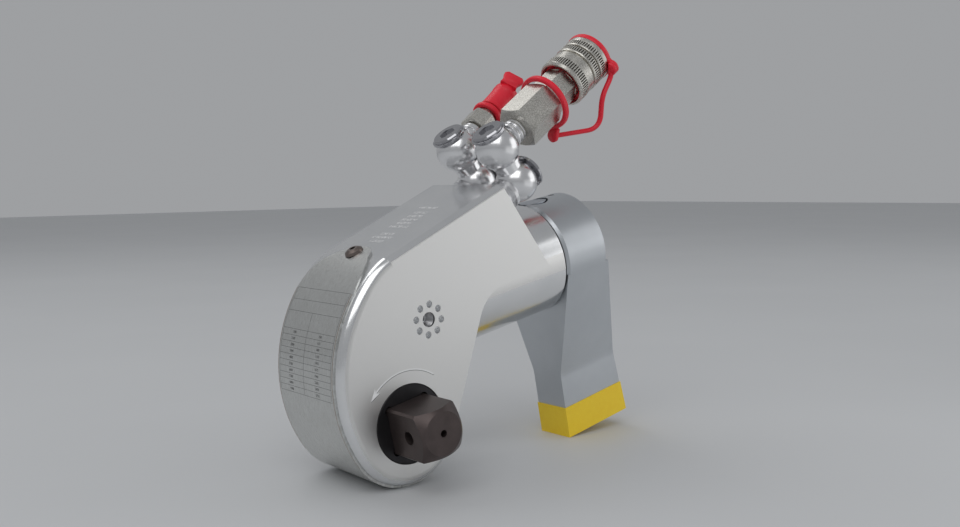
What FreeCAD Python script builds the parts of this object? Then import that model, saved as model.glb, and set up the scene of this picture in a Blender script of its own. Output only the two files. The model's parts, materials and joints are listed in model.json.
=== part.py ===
import FreeCAD, Part
import math
import os
from FreeCAD import Placement, Rotation, Vector

# Square-drive hydraulic torque wrench, 1 inch drive class. Millimetres.
# Modelled in the tool frame: origin on the drive axis at mid width, X along the
# cylinder towards the reaction arm, Y along the drive axis away from the square,
# Z up. At the end everything is turned about the drive axis by the stance pitch,
# so that the tool stands on its head and on the inner edge of its foot.

# Clearances: a running fit, a free gap, a seat between faces, a light fit on a pin
RUN = 0.05
FREE = 0.3
SEAT = 0.1
PIN_FIT = 0.01

# How far a cutting tool reaches past the body that it cuts
OVER = 1.0

# Bevels on hexagons: how far the cone cuts into the flats, and its slope
BEVEL_INSET = 0.3
BEVEL_SLOPE = 0.6

# Housing outline, seen along the drive axis
WIDTH = 66.0
HEAD_RADIUS = 33.3
NOSE_OFFSET = 44.5
NOSE_ANGLE = 24.8
TOP_HEIGHT = 85.9
TOP_SLOPE = 13.9
SHOULDER_X = 6.5
SHOULDER_KINK = 3.0
RIDGE_X = 88.2
REAR_SLOPE = 64.8
INNER_SLOPE = 60.2
INNER_REACH = 29.8
INNER_BLEND = 25.0
NOSE_ROUNDING = 5.3
TOP_CHAMFER = 3.0

# Cylinder
CYL_HEIGHT = 53.5
BARREL_END = 127.0
BARREL_START = 40.0
BORE_RADIUS = 21.0
BORE_START = 56.0
EDGE_BREAK = 1.0

# Mechanism cavity inside the head
CAVITY_HALF = 23.0
CAVITY_WALL = 0.7
CAVITY_ROOM = 1.5
PLATE_STAGES = (0.0, 0.25, 0.5, 0.75, 1.0)
PAWL_STAGES = (0.0, 0.5)

# Square drive
SQUARE = 25.4
SQUARE_EDGE = 1.1
DRIVE_REACH = 28.2
END_CIRCLE = 11.4
END_BEVEL = 6.0
CENTRE_HOLE = 1.9
CENTRE_HOLE_DEPTH = 8.0
CROSS_HOLE = 3.6
CROSS_HOLE_BACK = 12.5
TAIL_INSET = 2.0
BUTTON_WELL = 6.1
BUTTON_WELL_DEPTH = 12.0

# Drive sleeves, the black discs in the side walls, and their bushings
SLEEVE_RADIUS = 21.3
SLEEVE_INNER = 18.9
SLEEVE_EDGE = 0.6
RELIEF_RADIUS = 2.56
RELIEF_INSET = 2.3
BUSHING_RADIUS = 24.0
BUSHING_OUTER = 31.0

# Ratchet, drive plates and pawls
TEETH = 30
TIP_RADIUS = 27.0
ROOT_RADIUS = 24.6
FLANK = 0.12
RATCHET_HALF = 9.0
JOURNAL_RADIUS = 20.0
PLATE_THICK = 8.8
PLATE_GAP = 0.4
PLATE_HUB = 25.0
PLATE_END = 11.0
SWING = 24.0
LEVER_PIN = 5.0
PAWL_REACH = 36.0
PAWL_ANGLE = 30.0
PAWL_PIVOT_PIN = 3.0
PAWL_EYE = 6.0
PAWL_BOSS = 8.0
PAWL_TEETH_FROM = -14.0
PAWL_TEETH_TO = 4.0
PAWL_BACK = 36.0
PAWL_LIFT = 9.0
SPRING_WIRE = 0.5
SPRING_TURNS = 3
SPRING_ROOM = 6.0
TOOTH_GAP = 0.25
TOOTH_SWAY = 0.7
PAWL_TAIL_GAP = 1.0
LIFT_STEPS = 4
HOLD_PIVOT_X = -28.0
HOLD_PIVOT_Z = 32.0
HOLD_TIP_ANGLE = 74.0
HOLD_EYE = 4.5
HOLD_TIP = 3.4
HOLD_PIN = 2.0
HOLD_PIN_HALF = 17.0
HOLD_ROOM = 1.0
HOLD_TIP_GAP = 0.4
HOLD_LIFT = 6.5

# Piston and rod
PISTON_LENGTH = 18.0
PISTON_REAR = 105.0
ROD_RADIUS = 9.0
ROD_EYE = 10.0
ROD_EYE_HALF = 8.0
ROD_EYE_NECK = 6.0
ROD_SPIGOT = 5.4
ROD_END_INSET = 2.0
SEAL_WIDTH = 3.0
SEAL_DEPTH = 2.2

# End cap with the splined boss that carries the reaction arm
CAP_SCREW_LENGTH = 20.0
CAP_SEAL_INSET = 4.0
LIP = 0.2
LIP_INSET = 5.5
BOSS_ROOT = 24.0
BOSS_TIP = 26.4
SPLINES = 30
SPLINE_ROOT_SHARE = 0.30
SPLINE_TIP_SHARE = 0.17
BOSS_END = 160.0
CAP_RECESS = 14.0
CAP_RECESS_DEPTH = 12.0

# Reaction arm
ARM_START = 128.3
ARM_END = 162.0
ARM_EDGE = 1.6
SPLINE_GAP = 0.15
LEG_KNEE = -21.0
LEG_FRONT_FOOT = 125.4
LEG_SHOULDER = 48.5
LEG_BACK_KNEE = 174.0
LEG_BACK_FOOT = 177.0
FOOT_BOTTOM = -61.1
FOOT_HALF = 12.25
DIP_HEIGHT = 18.7
DIP_THICK = 0.5
KNEE_BLEND = 18.0
LATCH_X = 138.0
LATCH_RADIUS = 8.2
LATCH_RECESS = 9.4
LATCH_DEPTH = 3.2
LATCH_SINK = 0.6
LATCH_HEAD = 1.0
LATCH_STEM = 3.5
LATCH_STEM_LENGTH = 2.5
LATCH_STEM_DEPTH = 10.0
DETENT_X = 153.8
DETENT_RADIUS = 2.0
DETENT_DEPTH = 3.0
DETENT_LENGTH = 2.4
DETENT_SLOT = 0.5
DETENT_SLOT_LEVEL = 1.2

# Handle hole pattern in each side wall
HANDLE_X = 23.5
HANDLE_Z = 49.6
HANDLE_HOLE = 3.97
HANDLE_DEPTH = 9.0
RING_RADIUS = 8.1
RING_HOLE = 1.9
RING_DEPTH = 4.0
RING_COUNT = 8
RING_PHASE = -15.0

# Strap over the nose
STRAP_HALF = 27.7
STRAP_THICK = 1.2
STRAP_END_X = 14.0
STRAP_TAIL_ANGLE = -60.0
TONGUE_HALF = 17.5
TONGUE_WIDE_X = -16.0
TONGUE_NECK_X = 4.0
TONGUE_CURVE = 2.0
TONGUE_SWELL = 1.6
SCREW_X = 7.5
SCREW_HEAD = 5.2
SCREW_SHOULDER = 4.784
SCREW_TOP = 2.86
SCREW_HEAD_HEIGHT = 2.6
SCREW_SHOULDER_HEIGHT = 1.43
SCREW_SOCKET_FLOOR = 1.1
SCREW_TIP_ROOM = 1.0
SCREW_SHANK = 2.5
SCREW_LENGTH = 9.0
SHORT_SCREW = 4.6
SCREW_HEX = 3.0
UNDER_SCREW = -72.0

# Ports and swivels on the rear slope
PORT_DROP = 13.7
PORT_SPACING = 36.2
PORT_REACH = 20.0
POST_RADIUS = 5.0
POST_HEX = 17.0
POST_HEX_LENGTH = 5.0
POST_HEX_BEVEL = 1.5
POST_BODY = 7.2
POST_FLANGE = 9.6
POST_FLANGE_THICK = 2.2
POST_SCREW = 4.9
POST_SCREW_DEPTH = 9.0
POST_TIP_ROOM = 1.0
JOURNAL_END = 1.0
LOWER_BALL = 12.0
LOWER_FLAT = 9.6
LOWER_NECK = 7.6
LOWER_NECK_INSET = 1.0
UPPER_BALL = 12.7
UPPER_FLAT = 9.6
STEM_REACH = 24.0
STEM_RADIUS = 5.0
STEM_SCREW = 4.0
STEM_SCREW_ROOM = 12.0
STEM_FOOT_GAP = 0.4
STEM_SHOULDER = 8.2
STEM_SHOULDER_THICK = 1.5
CAP_RADIUS = 9.6
CAP_RIM = 10.6
CAP_RIM_THICK = 1.2
CAP_STEP = 0.2
CAP_EDGE = 0.8
CAP_HEIGHT = 3.0
CAP_SOCKET = 1.0
CAP_HEX = 9.0
CAP_HEX_DEPTH = 1.4
NECK_ROOT = 6.6
NECK_ROOT_END = 14.2
NECK_RADIUS = 5.2
NECK_GROOVE_START = 14.6
NECK_GROOVE_END = 16.2
NECK_COLLAR = 6.4
NECK_COLLAR_START = 16.4
NECK_START_INSET = 2.0
NECK_END = 19.0
FAR_YAW = 10.0

# Near fitting: hex adapter, female coupler half and its dust cap
HEX_START = 19.0
HEX_LENGTH = 27.5
HEX_AF = 24.4
HEX_BEVEL = 1.6
HEX_TURN = 96.5
HEX_BORE_DEPTH = 10.0
BODY_HEX_AF = 20.0
BODY_END = 91.0
BODY_RADIUS = 10.5
BODY_SPIGOT = 8.0
BODY_SPIGOT_LENGTH = 9.0
BODY_HEX_TAIL = 3.0
COUPLER_BORE = 6.2
COUPLER_BORE_DEPTH = 22.0
SLEEVE_START = 63.0
COLLAR_END = 91.8
COLLAR_RADIUS = 15.2
COLLAR_BORE = 11.0
COUNTERBORE = 13.4
COUNTERBORE_DEPTH = 6.5
COLLAR_EDGE = 1.2
COLLAR_BACK_EDGE = 1.0
BAND_END = 7.5
RECESS_START = 8.0
RECESS_DEPTH = 0.5
RECESS_END = 13.5
GROOVE_DEPTH = 1.6
GROOVES = ((14.2, 15.4), (20.8, 22.0))
GROOVE_SLOPE = 0.8
CAP_FLANGE = 15.5
CAP_FLANGE_THICK = 3.4
CAP_FLANGE_EDGE = 1.0
PLUG_RADIUS = 5.9
PLUG_LENGTH = 12.0
LUG_RADIUS = 4.6
LUG_THICK = 2.8
LUG_REACH = 16.2
LUG_ANGLE = 33.0
RING_AT = 46.0
RING_SINK = 0.8
RING_SIZE = 15.7
RING_TILT = 6.0
RING_SECTION = 1.4
TAB_RADIUS = 3.4
TAB_THICK = 2.4
TAB_HOLE = 1.1
TAB_WEB_HALF = 2.72
TAB_WEB_INSET = 0.7
TETHER_RADIUS = 1.7
TETHER_BEND_SHARE = 0.45
TETHER_ROUTE = [
    (188.9, -30.5, 150.6),
    (180.9, -29.2, 141.0),
    (178.8, -25.5, 122.2),
    (149.6, -14.6, 123.6),
]

# Far fitting: male nipple with a dust cap
FAR_NUT_START = 20.0
FAR_NUT_LENGTH = 12.0
FAR_NUT_AF = 17.0
FAR_NUT_TURN = 20.0
NIPPLE_RADIUS = 5.6
NIPPLE_SHOULDER = 6.8
NIPPLE_SHOULDER_LENGTH = 7.0
NIPPLE_SHOULDER_SLOPE = 1.0
NIPPLE_END = 56.0
FAR_CAP_START = 42.5
FAR_CAP_END = 62.0
FAR_CAP_RADIUS = 8.2
FAR_RING_AT = 36.6
FAR_RING_SIZE = 8.4
FAR_RING_SECTION = 1.3
FAR_TAB_WIDTH = 10.0
FAR_TAB_LENGTH = 9.0
FAR_TAB_TAPER = 0.6
FAR_TAB_INSET = 1.0

# Retainer on the far side of the drive
RETAINER_RADIUS = 17.0
RETAINER_THICK = 6.0
RETAINER_EDGE = 1.5
RETAINER_STUB = 23.4
RETAINER_BUTTON = 5.5
BUTTON_STAND = 2.6
PLUNGER_LENGTH = 9.4
PLUNGER_RADIUS = 4.9
BUTTON_SKIRT = 2.1
BUTTON_SPRING_RADIUS = 4.3
BUTTON_SPRING_LIFT = 0.6
BUTTON_SPRING_HEIGHT = 3.6

HALF = WIDTH / 2

# The barrel and the arm's hub are as wide as the housing, so that their sides are flush
BARREL_RADIUS = HALF
ARM_RADIUS = HALF
DRIVE_TAIL = HALF - TAIL_INSET
LOWER_NECK_END = STEM_REACH - UPPER_FLAT - STEM_SHOULDER_THICK - SEAT


def sind(angle):
    return math.sin(math.radians(angle))


def cosd(angle):
    return math.cos(math.radians(angle))


def tand(angle):
    return math.tan(math.radians(angle))


def xz(x, z, y=0.0):
    return Vector(x, y, z)


def arc(first, middle, last):
    return Part.Arc(first, middle, last).toShape()


def line(first, last):
    return Part.makeLine(first, last)


def arc_about(centre, first, last):
    """Arc from first to last about a centre in the XZ plane, the short way round."""
    radius = (first - centre).Length
    way = (first - centre) + (last - centre)
    return arc(first, centre + way.normalize() * radius, last)


def plate(edges, y_low, y_high):
    """Prism along Y from a closed outline in the XZ plane."""
    face = Part.Face(Part.Wire(Part.__sortEdges__(edges)))
    solid = face.extrude(Vector(0, y_high - y_low, 0))
    solid.translate(Vector(0, y_low, 0))
    return solid


def polygon(points):
    return [line(a, b) for a, b in zip(points, points[1:] + points[:1])]


def belt(c1, r1, c2, r2):
    """Outline of two circles in the XZ plane joined by their outer tangents."""
    along = c2 - c1
    reach = along.Length
    base = math.atan2(along.z, along.x)
    open_angle = math.acos((r1 - r2) / reach)

    def at(centre, radius, angle):
        return centre + xz(radius * math.cos(angle), radius * math.sin(angle))

    a1 = at(c1, r1, base + open_angle)
    b1 = at(c1, r1, base - open_angle)
    a2 = at(c2, r2, base + open_angle)
    b2 = at(c2, r2, base - open_angle)
    return [
        line(a1, a2),
        arc(a2, at(c2, r2, base), b2),
        line(b2, b1),
        arc(b1, at(c1, r1, base + math.pi), a1),
    ]


def along_y(radius, y_low, y_high, x=0.0, z=0.0):
    return Part.makeCylinder(radius, y_high - y_low, Vector(x, y_low, z), Vector(0, 1, 0))


def along_x(radius, x_low, x_high, z=CYL_HEIGHT):
    return Part.makeCylinder(radius, x_high - x_low, Vector(x_low, 0, z), Vector(1, 0, 0))


def turned(profile, origin, direction):
    """Solid of revolution. The profile lists (radius, distance along the axis)."""
    points = [Vector(r, 0, t) for r, t in profile]
    points.append(points[0])
    face = Part.Face(Part.makePolygon(points))
    solid = face.revolve(Vector(0, 0, 0), Vector(0, 0, 1), 360)
    return placed(solid, origin, direction)


def placed(shape, origin, direction):
    """Shape built along +Z from the origin, set on an axis through a point."""
    result = shape.copy()
    result.Placement = Placement(origin, Rotation(Vector(0, 0, 1), direction)).multiply(result.Placement)
    return result


def hexagon(across_flats, start, length, bevel=0.0, turn=0.0):
    """Hexagonal prism along +Z whose ends are bevelled by a cone."""
    corner = across_flats / math.sqrt(3)
    angles = [turn + 60 * i for i in range(6)]
    points = [Vector(corner * cosd(a), corner * sind(a), start) for a in angles]
    points.append(points[0])
    solid = Part.Face(Part.makePolygon(points)).extrude(Vector(0, 0, length))
    if bevel:
        low = across_flats / 2 - bevel * BEVEL_INSET
        rise = (corner - low) * BEVEL_SLOPE
        profile = [(0, start), (low, start), (corner, start + rise)]
        profile += [(corner, start + length - rise), (low, start + length), (0, start + length)]
        solid = solid.common(turned(profile, Vector(0, 0, 0), Vector(0, 0, 1)))
    return solid


def round_edges(shape):
    return [edge for edge in shape.Edges if isinstance(edge.Curve, Part.Circle)]


def fused(shapes):
    result = shapes[0]
    for shape in shapes[1:]:
        result = result.fuse(shape)
    return result.removeSplitter()


def ratchet_outline(tip, root, turn=0.0):
    """Closed saw-tooth outline about the drive axis."""
    pitch = 360.0 / TEETH
    points = []
    for i in range(TEETH):
        base = turn + i * pitch
        points.append(xz(root * cosd(base - pitch * FLANK), root * sind(base - pitch * FLANK)))
        points.append(xz(tip * cosd(base), tip * sind(base)))
    return polygon(points)


# Places that several pieces share
CYL_AXIS = xz(0, CYL_HEIGHT)
NOSE_RADIUS = HEAD_RADIUS + NOSE_OFFSET
NOSE_CENTRE = xz(NOSE_OFFSET * cosd(NOSE_ANGLE), NOSE_OFFSET * sind(NOSE_ANGLE))
LEVER_REACH = CYL_HEIGHT / cosd(SWING / 2)
LEVER_TOP = xz(LEVER_REACH * sind(SWING / 2), CYL_HEIGHT)
STROKE = 2 * LEVER_REACH * sind(SWING / 2)
NORMAL = Vector(sind(REAR_SLOPE), 0, cosd(REAR_SLOPE))
UP_SLOPE = Vector(-cosd(REAR_SLOPE), 0, sind(REAR_SLOPE))
RIDGE = xz(RIDGE_X, TOP_HEIGHT + tand(TOP_SLOPE) * RIDGE_X)
PORT_BASE = RIDGE - UP_SLOPE * PORT_DROP
BALL_LOW = PORT_BASE + NORMAL * PORT_REACH
BALL_HIGH = BALL_LOW + UP_SLOPE * STEM_REACH
PLATE_INNER = RATCHET_HALF + PLATE_GAP
PLATE_OUTER = PLATE_INNER + PLATE_THICK
CROWN = CYL_HEIGHT + ARM_RADIUS
CAP_SEAL_X = BARREL_END - CAP_SCREW_LENGTH + CAP_SEAL_INSET
BUTTON_FLOOR = DRIVE_TAIL - BUTTON_WELL_DEPTH
SIDES = {"near": -1, "far": 1}


def side_point(point, side):
    return point + Vector(0, SIDES[side] * PORT_SPACING / 2, 0)


def top_point(x, lift=0.0):
    return xz(x, TOP_HEIGHT + tand(TOP_SLOPE) * x + lift / cosd(TOP_SLOPE))


def nose_arcs(lift):
    """Shoulder, nose and head arcs, from the top line to the head, raised by lift."""
    start = top_point(SHOULDER_X, 0)
    slope = TOP_SLOPE + SHOULDER_KINK
    normal = xz(-sind(slope), cosd(slope))
    gap = start - NOSE_CENTRE
    radius = (NOSE_RADIUS ** 2 - gap.Length ** 2) / (2 * (NOSE_RADIUS - gap.dot(normal)))
    centre = start - normal * radius
    join = NOSE_CENTRE + (centre - NOSE_CENTRE).normalize() * (NOSE_RADIUS + lift)
    low = NOSE_CENTRE * (-(HEAD_RADIUS + lift) / NOSE_OFFSET)
    first = centre + normal * (radius + lift)
    return first, centre, join, low


def inner_line():
    """Foot of the perpendicular from the drive axis to the inner edge, and its direction."""
    direction = xz(cosd(INNER_SLOPE), sind(INNER_SLOPE))
    foot = xz(sind(INNER_SLOPE), -cosd(INNER_SLOPE)) * INNER_REACH
    return foot, direction


def housing_nose():
    """Head and nose with rounded side edges, up to the lines where they run out."""
    first, shoulder, join, low = nose_arcs(0.0)
    origin = Vector(0, 0, 0)
    corner = head_corner()
    edges = [
        arc_about(shoulder, first, join),
        arc_about(NOSE_CENTRE, join, low),
        arc_about(origin, low, corner),
        line(corner, origin),
        line(origin, shoulder),
        line(shoulder, first),
    ]
    block = plate(edges, -HALF, HALF)
    return block.makeFillet(NOSE_ROUNDING, [e for e in block.Edges if is_side_arc(e)])


def head_corner():
    """Point where the head circle meets the straight inner edge."""
    foot, direction = inner_line()
    return foot - direction * math.sqrt(HEAD_RADIUS ** 2 - INNER_REACH ** 2)


def housing_rear():
    """Flat-sided rest of the housing, between the nose and the barrel."""
    first, shoulder = nose_arcs(0.0)[:2]
    foot, direction = inner_line()
    origin = Vector(0, 0, 0)
    corner = head_corner()
    meet = foot + direction * ((CYL_HEIGHT - foot.z) / direction.z)
    back = INNER_BLEND * tand(INNER_SLOPE / 2)
    blend_low = meet - direction * back
    blend_high = meet + Vector(back, 0, 0)
    blend_centre = blend_high - Vector(0, 0, INNER_BLEND)
    rear = RIDGE - UP_SLOPE * ((RIDGE.z - CYL_HEIGHT) / UP_SLOPE.z)
    edges = [
        line(first, shoulder),
        line(shoulder, origin),
        line(origin, corner),
        line(corner, blend_low),
        arc_about(blend_centre, blend_low, blend_high),
        line(blend_high, rear),
        line(rear, RIDGE),
        line(RIDGE, first),
    ]
    return plate(edges, -HALF, HALF)


def head_runout(side):
    """Tool path that carries the head's rounding on until it leaves the inner edge."""
    foot = inner_line()[0]
    inside = HEAD_RADIUS - NOSE_ROUNDING
    disc = along_y(HEAD_RADIUS, -HALF, HALF)
    rounded = disc.makeFillet(NOSE_ROUNDING, round_edges(disc))
    waste = disc.cut(along_y(inside - OVER, -WIDTH, WIDTH)).cut(rounded)
    reach = HEAD_RADIUS * 2
    wedge = polygon([Vector(0, 0, 0), head_corner() * 2, foot * (reach / foot.Length)])
    keep = plate(wedge, *sorted((0, side * WIDTH)))
    return waste.common(keep)


def is_side_arc(edge):
    """Arcs on the two side faces."""
    on_side = abs(abs(edge.CenterOfMass.y) - HALF) < 1e-3
    return on_side and isinstance(edge.Curve, Part.Circle)


def top_bevel(side):
    """Wedge that cuts the bevel along one top edge, from the shoulder to the ridge."""
    start = top_point(SHOULDER_X)
    length = (RIDGE - start).Length + TOP_CHAMFER * 4
    y_out = HALF + TOP_CHAMFER
    points = [Vector(0, HALF - TOP_CHAMFER, 0), Vector(0, y_out, 0), Vector(0, y_out, -2 * TOP_CHAMFER)]
    points.append(points[0])
    wedge = Part.Face(Part.makePolygon(points)).extrude(Vector(length, 0, 0))
    wedge.rotate(Vector(0, 0, 0), Vector(0, 1, 0), -TOP_SLOPE)
    wedge.translate(start)
    if side < 0:
        wedge = wedge.mirror(Vector(0, 0, 0), Vector(0, 1, 0))
    return wedge


def cavity():
    """Space in the head for the ratchet, plates and pawls."""
    origin = Vector(0, 0, 0)
    hub = TIP_RADIUS + CAVITY_WALL
    outlines = [belt(LEVER_TOP, PLATE_END + CAVITY_ROOM, pawl_pivot(), PAWL_BOSS + CAVITY_ROOM)]
    for share in PLATE_STAGES:
        end = lever_polar(LEVER_REACH, -SWING * share)
        outlines.append(belt(origin, hub, end, PLATE_END + CAVITY_ROOM))
    for share in PAWL_STAGES:
        end = lever_polar(PAWL_REACH, PAWL_ANGLE - SWING * share)
        outlines.append(belt(origin, hub, end, PAWL_BOSS + CAVITY_ROOM))
    shapes = [plate(outline, -CAVITY_HALF, CAVITY_HALF) for outline in outlines]
    hold = xz(HOLD_PIVOT_X, HOLD_PIVOT_Z)
    room = HOLD_EYE + HOLD_ROOM
    shapes.append(plate(belt(origin, hub, hold, room), -PLATE_INNER, PLATE_INNER))
    pocket = plate(belt(hold, room, hold_tip(), HOLD_TIP + HOLD_ROOM), -PLATE_INNER, PLATE_INNER)
    lifted = pocket.copy()
    lifted.rotate(hold, Vector(0, 1, 0), HOLD_LIFT)
    return fused(shapes + [pocket, lifted])


def handle_holes(side):
    """Tapped handle hole with its ring of eight small holes, in one side wall."""
    face = side * HALF
    inward = Vector(0, -side, 0)
    holes = [Part.makeCylinder(HANDLE_HOLE, HANDLE_DEPTH, Vector(HANDLE_X, face, HANDLE_Z), inward)]
    for i in range(RING_COUNT):
        angle = RING_PHASE + i * 360 / RING_COUNT
        x = HANDLE_X + RING_RADIUS * cosd(angle)
        z = HANDLE_Z + RING_RADIUS * sind(angle)
        holes.append(Part.makeCylinder(RING_HOLE, RING_DEPTH, Vector(x, face, z), inward))
    return holes


def housing():
    rear = housing_rear()
    for side in (-1, 1):
        rear = rear.cut(top_bevel(side)).cut(head_runout(side))
    block = housing_nose().fuse(rear)
    barrel = along_x(BARREL_RADIUS, BARREL_START, BARREL_END)
    rim = [e for e in round_edges(barrel) if e.CenterOfMass.x > BARREL_END - OVER]
    barrel = barrel.makeChamfer(EDGE_BREAK, rim)
    body = block.fuse(barrel)
    body = body.cut(cavity())
    body = body.cut(along_x(BORE_RADIUS, BORE_START, BARREL_END + OVER))
    body = body.cut(along_x(ROD_RADIUS + RUN, 0, BORE_START + OVER))
    body = body.cut(along_y(SLEEVE_RADIUS + RUN, -WIDTH, WIDTH))
    body = body.cut(along_y(BUSHING_RADIUS, -BUSHING_OUTER, BUSHING_OUTER))
    for side in (-1, 1):
        for hole in handle_holes(side):
            body = body.cut(hole)
    for side in SIDES:
        base = side_point(PORT_BASE, side)
        body = body.cut(Part.makeCylinder(POST_SCREW, POST_SCREW_DEPTH, base, NORMAL * -1))
    for place, direction, length in strap_screw_places():
        body = body.cut(Part.makeCylinder(SCREW_SHANK, length, place, direction * -1))
    hold = along_y(HOLD_PIN, -HOLD_PIN_HALF, HOLD_PIN_HALF, HOLD_PIVOT_X, HOLD_PIVOT_Z)
    return body.cut(hold).removeSplitter()


def strap_screw_places():
    """Seat point, outward direction and shank length of the two strap screws."""
    up = xz(-sind(TOP_SLOPE), cosd(TOP_SLOPE))
    under = xz(cosd(UNDER_SCREW), sind(UNDER_SCREW))
    return [(top_point(SCREW_X), up, SCREW_LENGTH), (under * HEAD_RADIUS, under, SHORT_SCREW)]


def shroud_strap():
    """Thin strap bent round the nose, with a rounded tongue on the top face."""
    inner = nose_arcs(0.0)
    outer = nose_arcs(STRAP_THICK)
    tail = xz(cosd(STRAP_TAIL_ANGLE), sind(STRAP_TAIL_ANGLE))
    edges = []
    for (first, shoulder, join, low), lift in ((inner, 0.0), (outer, STRAP_THICK)):
        radius = HEAD_RADIUS + lift
        end = tail * radius
        start = top_point(STRAP_END_X, lift)
        edges += [line(start, first), arc_about(shoulder, first, join)]
        edges += [arc_about(NOSE_CENTRE, join, low), arc_about(Vector(0, 0, 0), low, end)]
    edges.append(line(top_point(STRAP_END_X), top_point(STRAP_END_X, STRAP_THICK)))
    edges.append(line(tail * HEAD_RADIUS, tail * (HEAD_RADIUS + STRAP_THICK)))
    strap = plate(edges, -STRAP_HALF, STRAP_HALF).common(tongue_plan())
    for place, direction, length in strap_screw_places():
        start = place - direction * OVER
        strap = strap.cut(Part.makeCylinder(SCREW_SHANK + SEAT, STRAP_THICK + 2 * OVER, start, direction))
    return strap


def tongue_plan():
    """Block that trims the strap's upper end to a rounded tongue, seen from above."""
    wide = Vector(TONGUE_WIDE_X, STRAP_HALF, 0)
    neck = Vector(TONGUE_NECK_X, TONGUE_HALF, 0)
    back = Vector(-WIDTH, STRAP_HALF, 0)
    side = arc(wide, (wide + neck) * 0.5 + Vector(TONGUE_CURVE, TONGUE_SWELL, 0), neck)
    half = [side, line(wide, back)]
    origin = Vector(0, 0, 0)
    other = [edge.mirror(origin, Vector(0, 1, 0)) for edge in half]
    tip = arc(neck, Vector(STRAP_END_X, 0, 0), across_mid_plane(neck))
    end = line(back, across_mid_plane(back))
    face = Part.Face(Part.Wire(Part.__sortEdges__(half + other + [tip, end])))
    upper = face.extrude(Vector(0, 0, 2 * TOP_HEIGHT))
    low = Part.makeBox(2 * WIDTH, 2 * STRAP_HALF, 2 * WIDTH, Vector(-WIDTH, -STRAP_HALF, -2 * WIDTH))
    return upper.fuse(low)


def across_mid_plane(point):
    return Vector(point.x, -point.y, point.z)


def strap_screws():
    """Button-head screws that hold the strap, one on top and one under the head."""
    solids = []
    for place, direction, length in strap_screw_places():
        seat = place + direction * STRAP_THICK
        head = [(0, 0), (SCREW_HEAD, 0), (SCREW_SHOULDER, SCREW_SHOULDER_HEIGHT)]
        head += [(SCREW_TOP, SCREW_HEAD_HEIGHT), (0, SCREW_HEAD_HEIGHT)]
        screw = turned(head, seat, direction)
        tip = place - direction * (length - SCREW_TIP_ROOM)
        screw = screw.fuse(Part.makeCylinder(SCREW_SHANK - RUN, length + SEAT, tip, direction))
        screw = screw.fuse(Part.makeCylinder(SCREW_SHANK - RUN, STRAP_THICK + SEAT, place, direction))
        socket = placed(hexagon(SCREW_HEX, SCREW_SOCKET_FLOOR, SCREW_HEAD_HEIGHT), seat, direction)
        solids.append(screw.cut(socket))
    return Part.makeCompound(solids)


def square_bar(size, y_low, y_high, edge):
    half = size / 2
    bar = Part.makeBox(size, y_high - y_low, size, Vector(-half, y_low, -half))
    if edge:
        sides = [e for e in bar.Edges if abs(e.Length - (y_high - y_low)) < 1e-6]
        bar = bar.makeChamfer(edge, sides)
    return bar


def square_drive():
    y_end = -HALF - DRIVE_REACH
    bar = square_bar(SQUARE, y_end, DRIVE_TAIL, SQUARE_EDGE)
    corner = SQUARE / 2 * math.sqrt(2)
    length = DRIVE_TAIL - y_end
    profile = [(0, 0), (END_CIRCLE, 0), (corner, END_BEVEL), (corner, length), (0, length)]
    bar = bar.common(turned(profile, Vector(0, y_end, 0), Vector(0, 1, 0)))
    bar = bar.cut(along_y(CENTRE_HOLE, y_end - OVER, y_end + CENTRE_HOLE_DEPTH))
    cross = Vector(-SQUARE, y_end + CROSS_HOLE_BACK, 0)
    bar = bar.cut(Part.makeCylinder(CROSS_HOLE, SQUARE * 2, cross, Vector(1, 0, 0)))
    return bar.cut(along_y(BUTTON_WELL, BUTTON_FLOOR, DRIVE_TAIL + OVER))


def drive_sleeve(side):
    """Black disc in one side wall with the square hole and its corner reliefs."""
    y_low, y_high = sorted((side * SLEEVE_INNER, side * HALF))
    disc = along_y(SLEEVE_RADIUS, y_low, y_high)
    rim = [e for e in round_edges(disc) if abs(abs(e.CenterOfMass.y) - HALF) < 1e-3]
    disc = disc.makeChamfer(SLEEVE_EDGE, rim)
    disc = disc.cut(square_bar(SQUARE + 2 * SEAT, -WIDTH, WIDTH, 0))
    reach = SQUARE / math.sqrt(2) - RELIEF_INSET
    for i in range(4):
        angle = 45 + 90 * i
        disc = disc.cut(along_y(RELIEF_RADIUS, -WIDTH, WIDTH, reach * cosd(angle), reach * sind(angle)))
    return disc


def drive_bushings():
    """Bronze bushings that carry the drive sleeves in both side walls."""
    solids = []
    for side in (-1, 1):
        y_low, y_high = sorted((side * (CAVITY_HALF + SEAT), side * (BUSHING_OUTER - SEAT)))
        ring = along_y(BUSHING_RADIUS - SEAT, y_low, y_high)
        solids.append(ring.cut(along_y(SLEEVE_RADIUS + RUN, -WIDTH, WIDTH)))
    return Part.makeCompound(solids)


def ratchet_wheel():
    wheel = plate(ratchet_outline(TIP_RADIUS, ROOT_RADIUS), -RATCHET_HALF, RATCHET_HALF)
    wheel = wheel.fuse(along_y(JOURNAL_RADIUS, -SLEEVE_INNER + SEAT, SLEEVE_INNER - SEAT))
    return wheel.cut(square_bar(SQUARE + 2 * SEAT, -WIDTH, WIDTH, 0))


def lever_polar(radius, angle):
    """Point in the lever's own frame, angle measured clockwise from the lever line."""
    return xz(radius * sind(SWING / 2 + angle), radius * cosd(SWING / 2 + angle))


def pawl_pivot():
    return lever_polar(PAWL_REACH, PAWL_ANGLE)


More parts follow.
